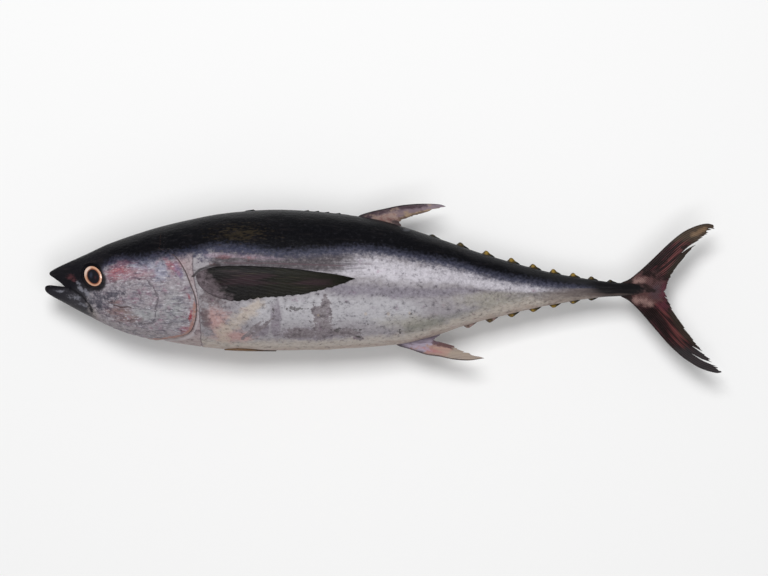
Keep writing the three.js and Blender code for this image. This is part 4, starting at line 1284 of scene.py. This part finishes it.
class TUNA_OT_finlets(bpy.types.Operator):
    """Builds the finlets of the back and belly."""

    bl_idname = "tuna.finlets"
    bl_label = "Finlets"

    def execute(self, context):
        material = finlet_material(context.scene.tuna)
        add_finlets("dorsal_finlet", DORSAL_FINLETS, back, 1, DORSAL_PROFILE, material)
        add_finlets("anal_finlet", ANAL_FINLETS, belly, -1, ANAL_PROFILE, material)
        return {"FINISHED"}


class TUNA_OT_stage(bpy.types.Operator):
    """Builds the pale table, the soft lights and the camera that looks down on the fish."""

    bl_idname = "tuna.stage"
    bl_label = "Table, lights and camera"

    def execute(self, context):
        scene = context.scene
        stage = scene.tuna_stage
        reach, top = 6.0, -0.0004  # the table's half size, and its top just under the fish
        corners = [(-reach, -reach, top), (reach, -reach, top), (reach, reach, top), (-reach, reach, top)]
        mesh = bpy.data.meshes.new("table")
        mesh.from_pydata(corners, [], [(0, 1, 2, 3)])
        mesh.materials.append(table_material())
        table = bpy.data.objects.new("table", mesh)
        scene.collection.objects.link(table)
        for name, place, size, power in (
            ("key_light", (-0.5, 1.75, 4.8), 1.8, stage.key),
            ("fill_light", (0.6, -1.2, 5.0), 2.6, stage.fill),
        ):
            light = bpy.data.lights.new(name, "AREA")
            light.shape, light.size, light.energy = "SQUARE", size, power
            lamp = bpy.data.objects.new(name, light)
            lamp.location = place
            lamp.rotation_euler = (-Vector(place)).to_track_quat("-Z", "Y").to_euler()
            scene.collection.objects.link(lamp)
        world = bpy.data.worlds.new("studio")
        world.use_nodes = True
        sky = world.node_tree.nodes["Background"]
        plug(world.node_tree, sky, {"Color": (1, 1, 1, 1), "Strength": stage.world})
        scene.world = world
        scene.view_settings.view_transform = "Standard"
        camera = bpy.data.cameras.new("camera")
        camera.lens = stage.lens
        viewer = bpy.data.objects.new("camera", camera)
        height = stage.frame_width * stage.lens / camera.sensor_width
        viewer.location = (0.0007, 0.0007, BED + height)  # straight above the fish's middle
        scene.collection.objects.link(viewer)
        scene.camera = viewer
        return {"FINISHED"}


class TUNA_PT_panel(bpy.types.Panel):
    """Lists the tuna's settings and operators."""

    bl_idname = "TUNA_PT_panel"
    bl_label = "Whole raw tuna"
    bl_space_type = "VIEW_3D"
    bl_region_type = "UI"
    bl_category = "Tuna"

    def draw(self, context):
        for group in (context.scene.tuna, context.scene.tuna_stage):
            for name in group.__annotations__:
                self.layout.prop(group, name)
        for operator in OPERATORS:
            self.layout.operator(operator.bl_idname)


OPERATORS = (
    TUNA_OT_trunk, TUNA_OT_eyes, TUNA_OT_paired_fins, TUNA_OT_median_fins, TUNA_OT_finlets, TUNA_OT_stage,
)
CLASSES = (TunaSettings, StageSettings, *OPERATORS, TUNA_PT_panel)


def register():
    for made in CLASSES:
        bpy.utils.register_class(made)
    bpy.types.Scene.tuna = PointerProperty(type=TunaSettings)
    bpy.types.Scene.tuna_stage = PointerProperty(type=StageSettings)


def unregister():
    del bpy.types.Scene.tuna_stage
    del bpy.types.Scene.tuna
    for made in reversed(CLASSES):
        bpy.utils.unregister_class(made)


def main():
    """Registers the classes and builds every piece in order."""
    register()
    bpy.ops.tuna.trunk()
    bpy.ops.tuna.eyes()
    bpy.ops.tuna.paired_fins()
    bpy.ops.tuna.median_fins()
    bpy.ops.tuna.finlets()
    bpy.ops.tuna.stage()


if __name__ == "__main__":
    main()
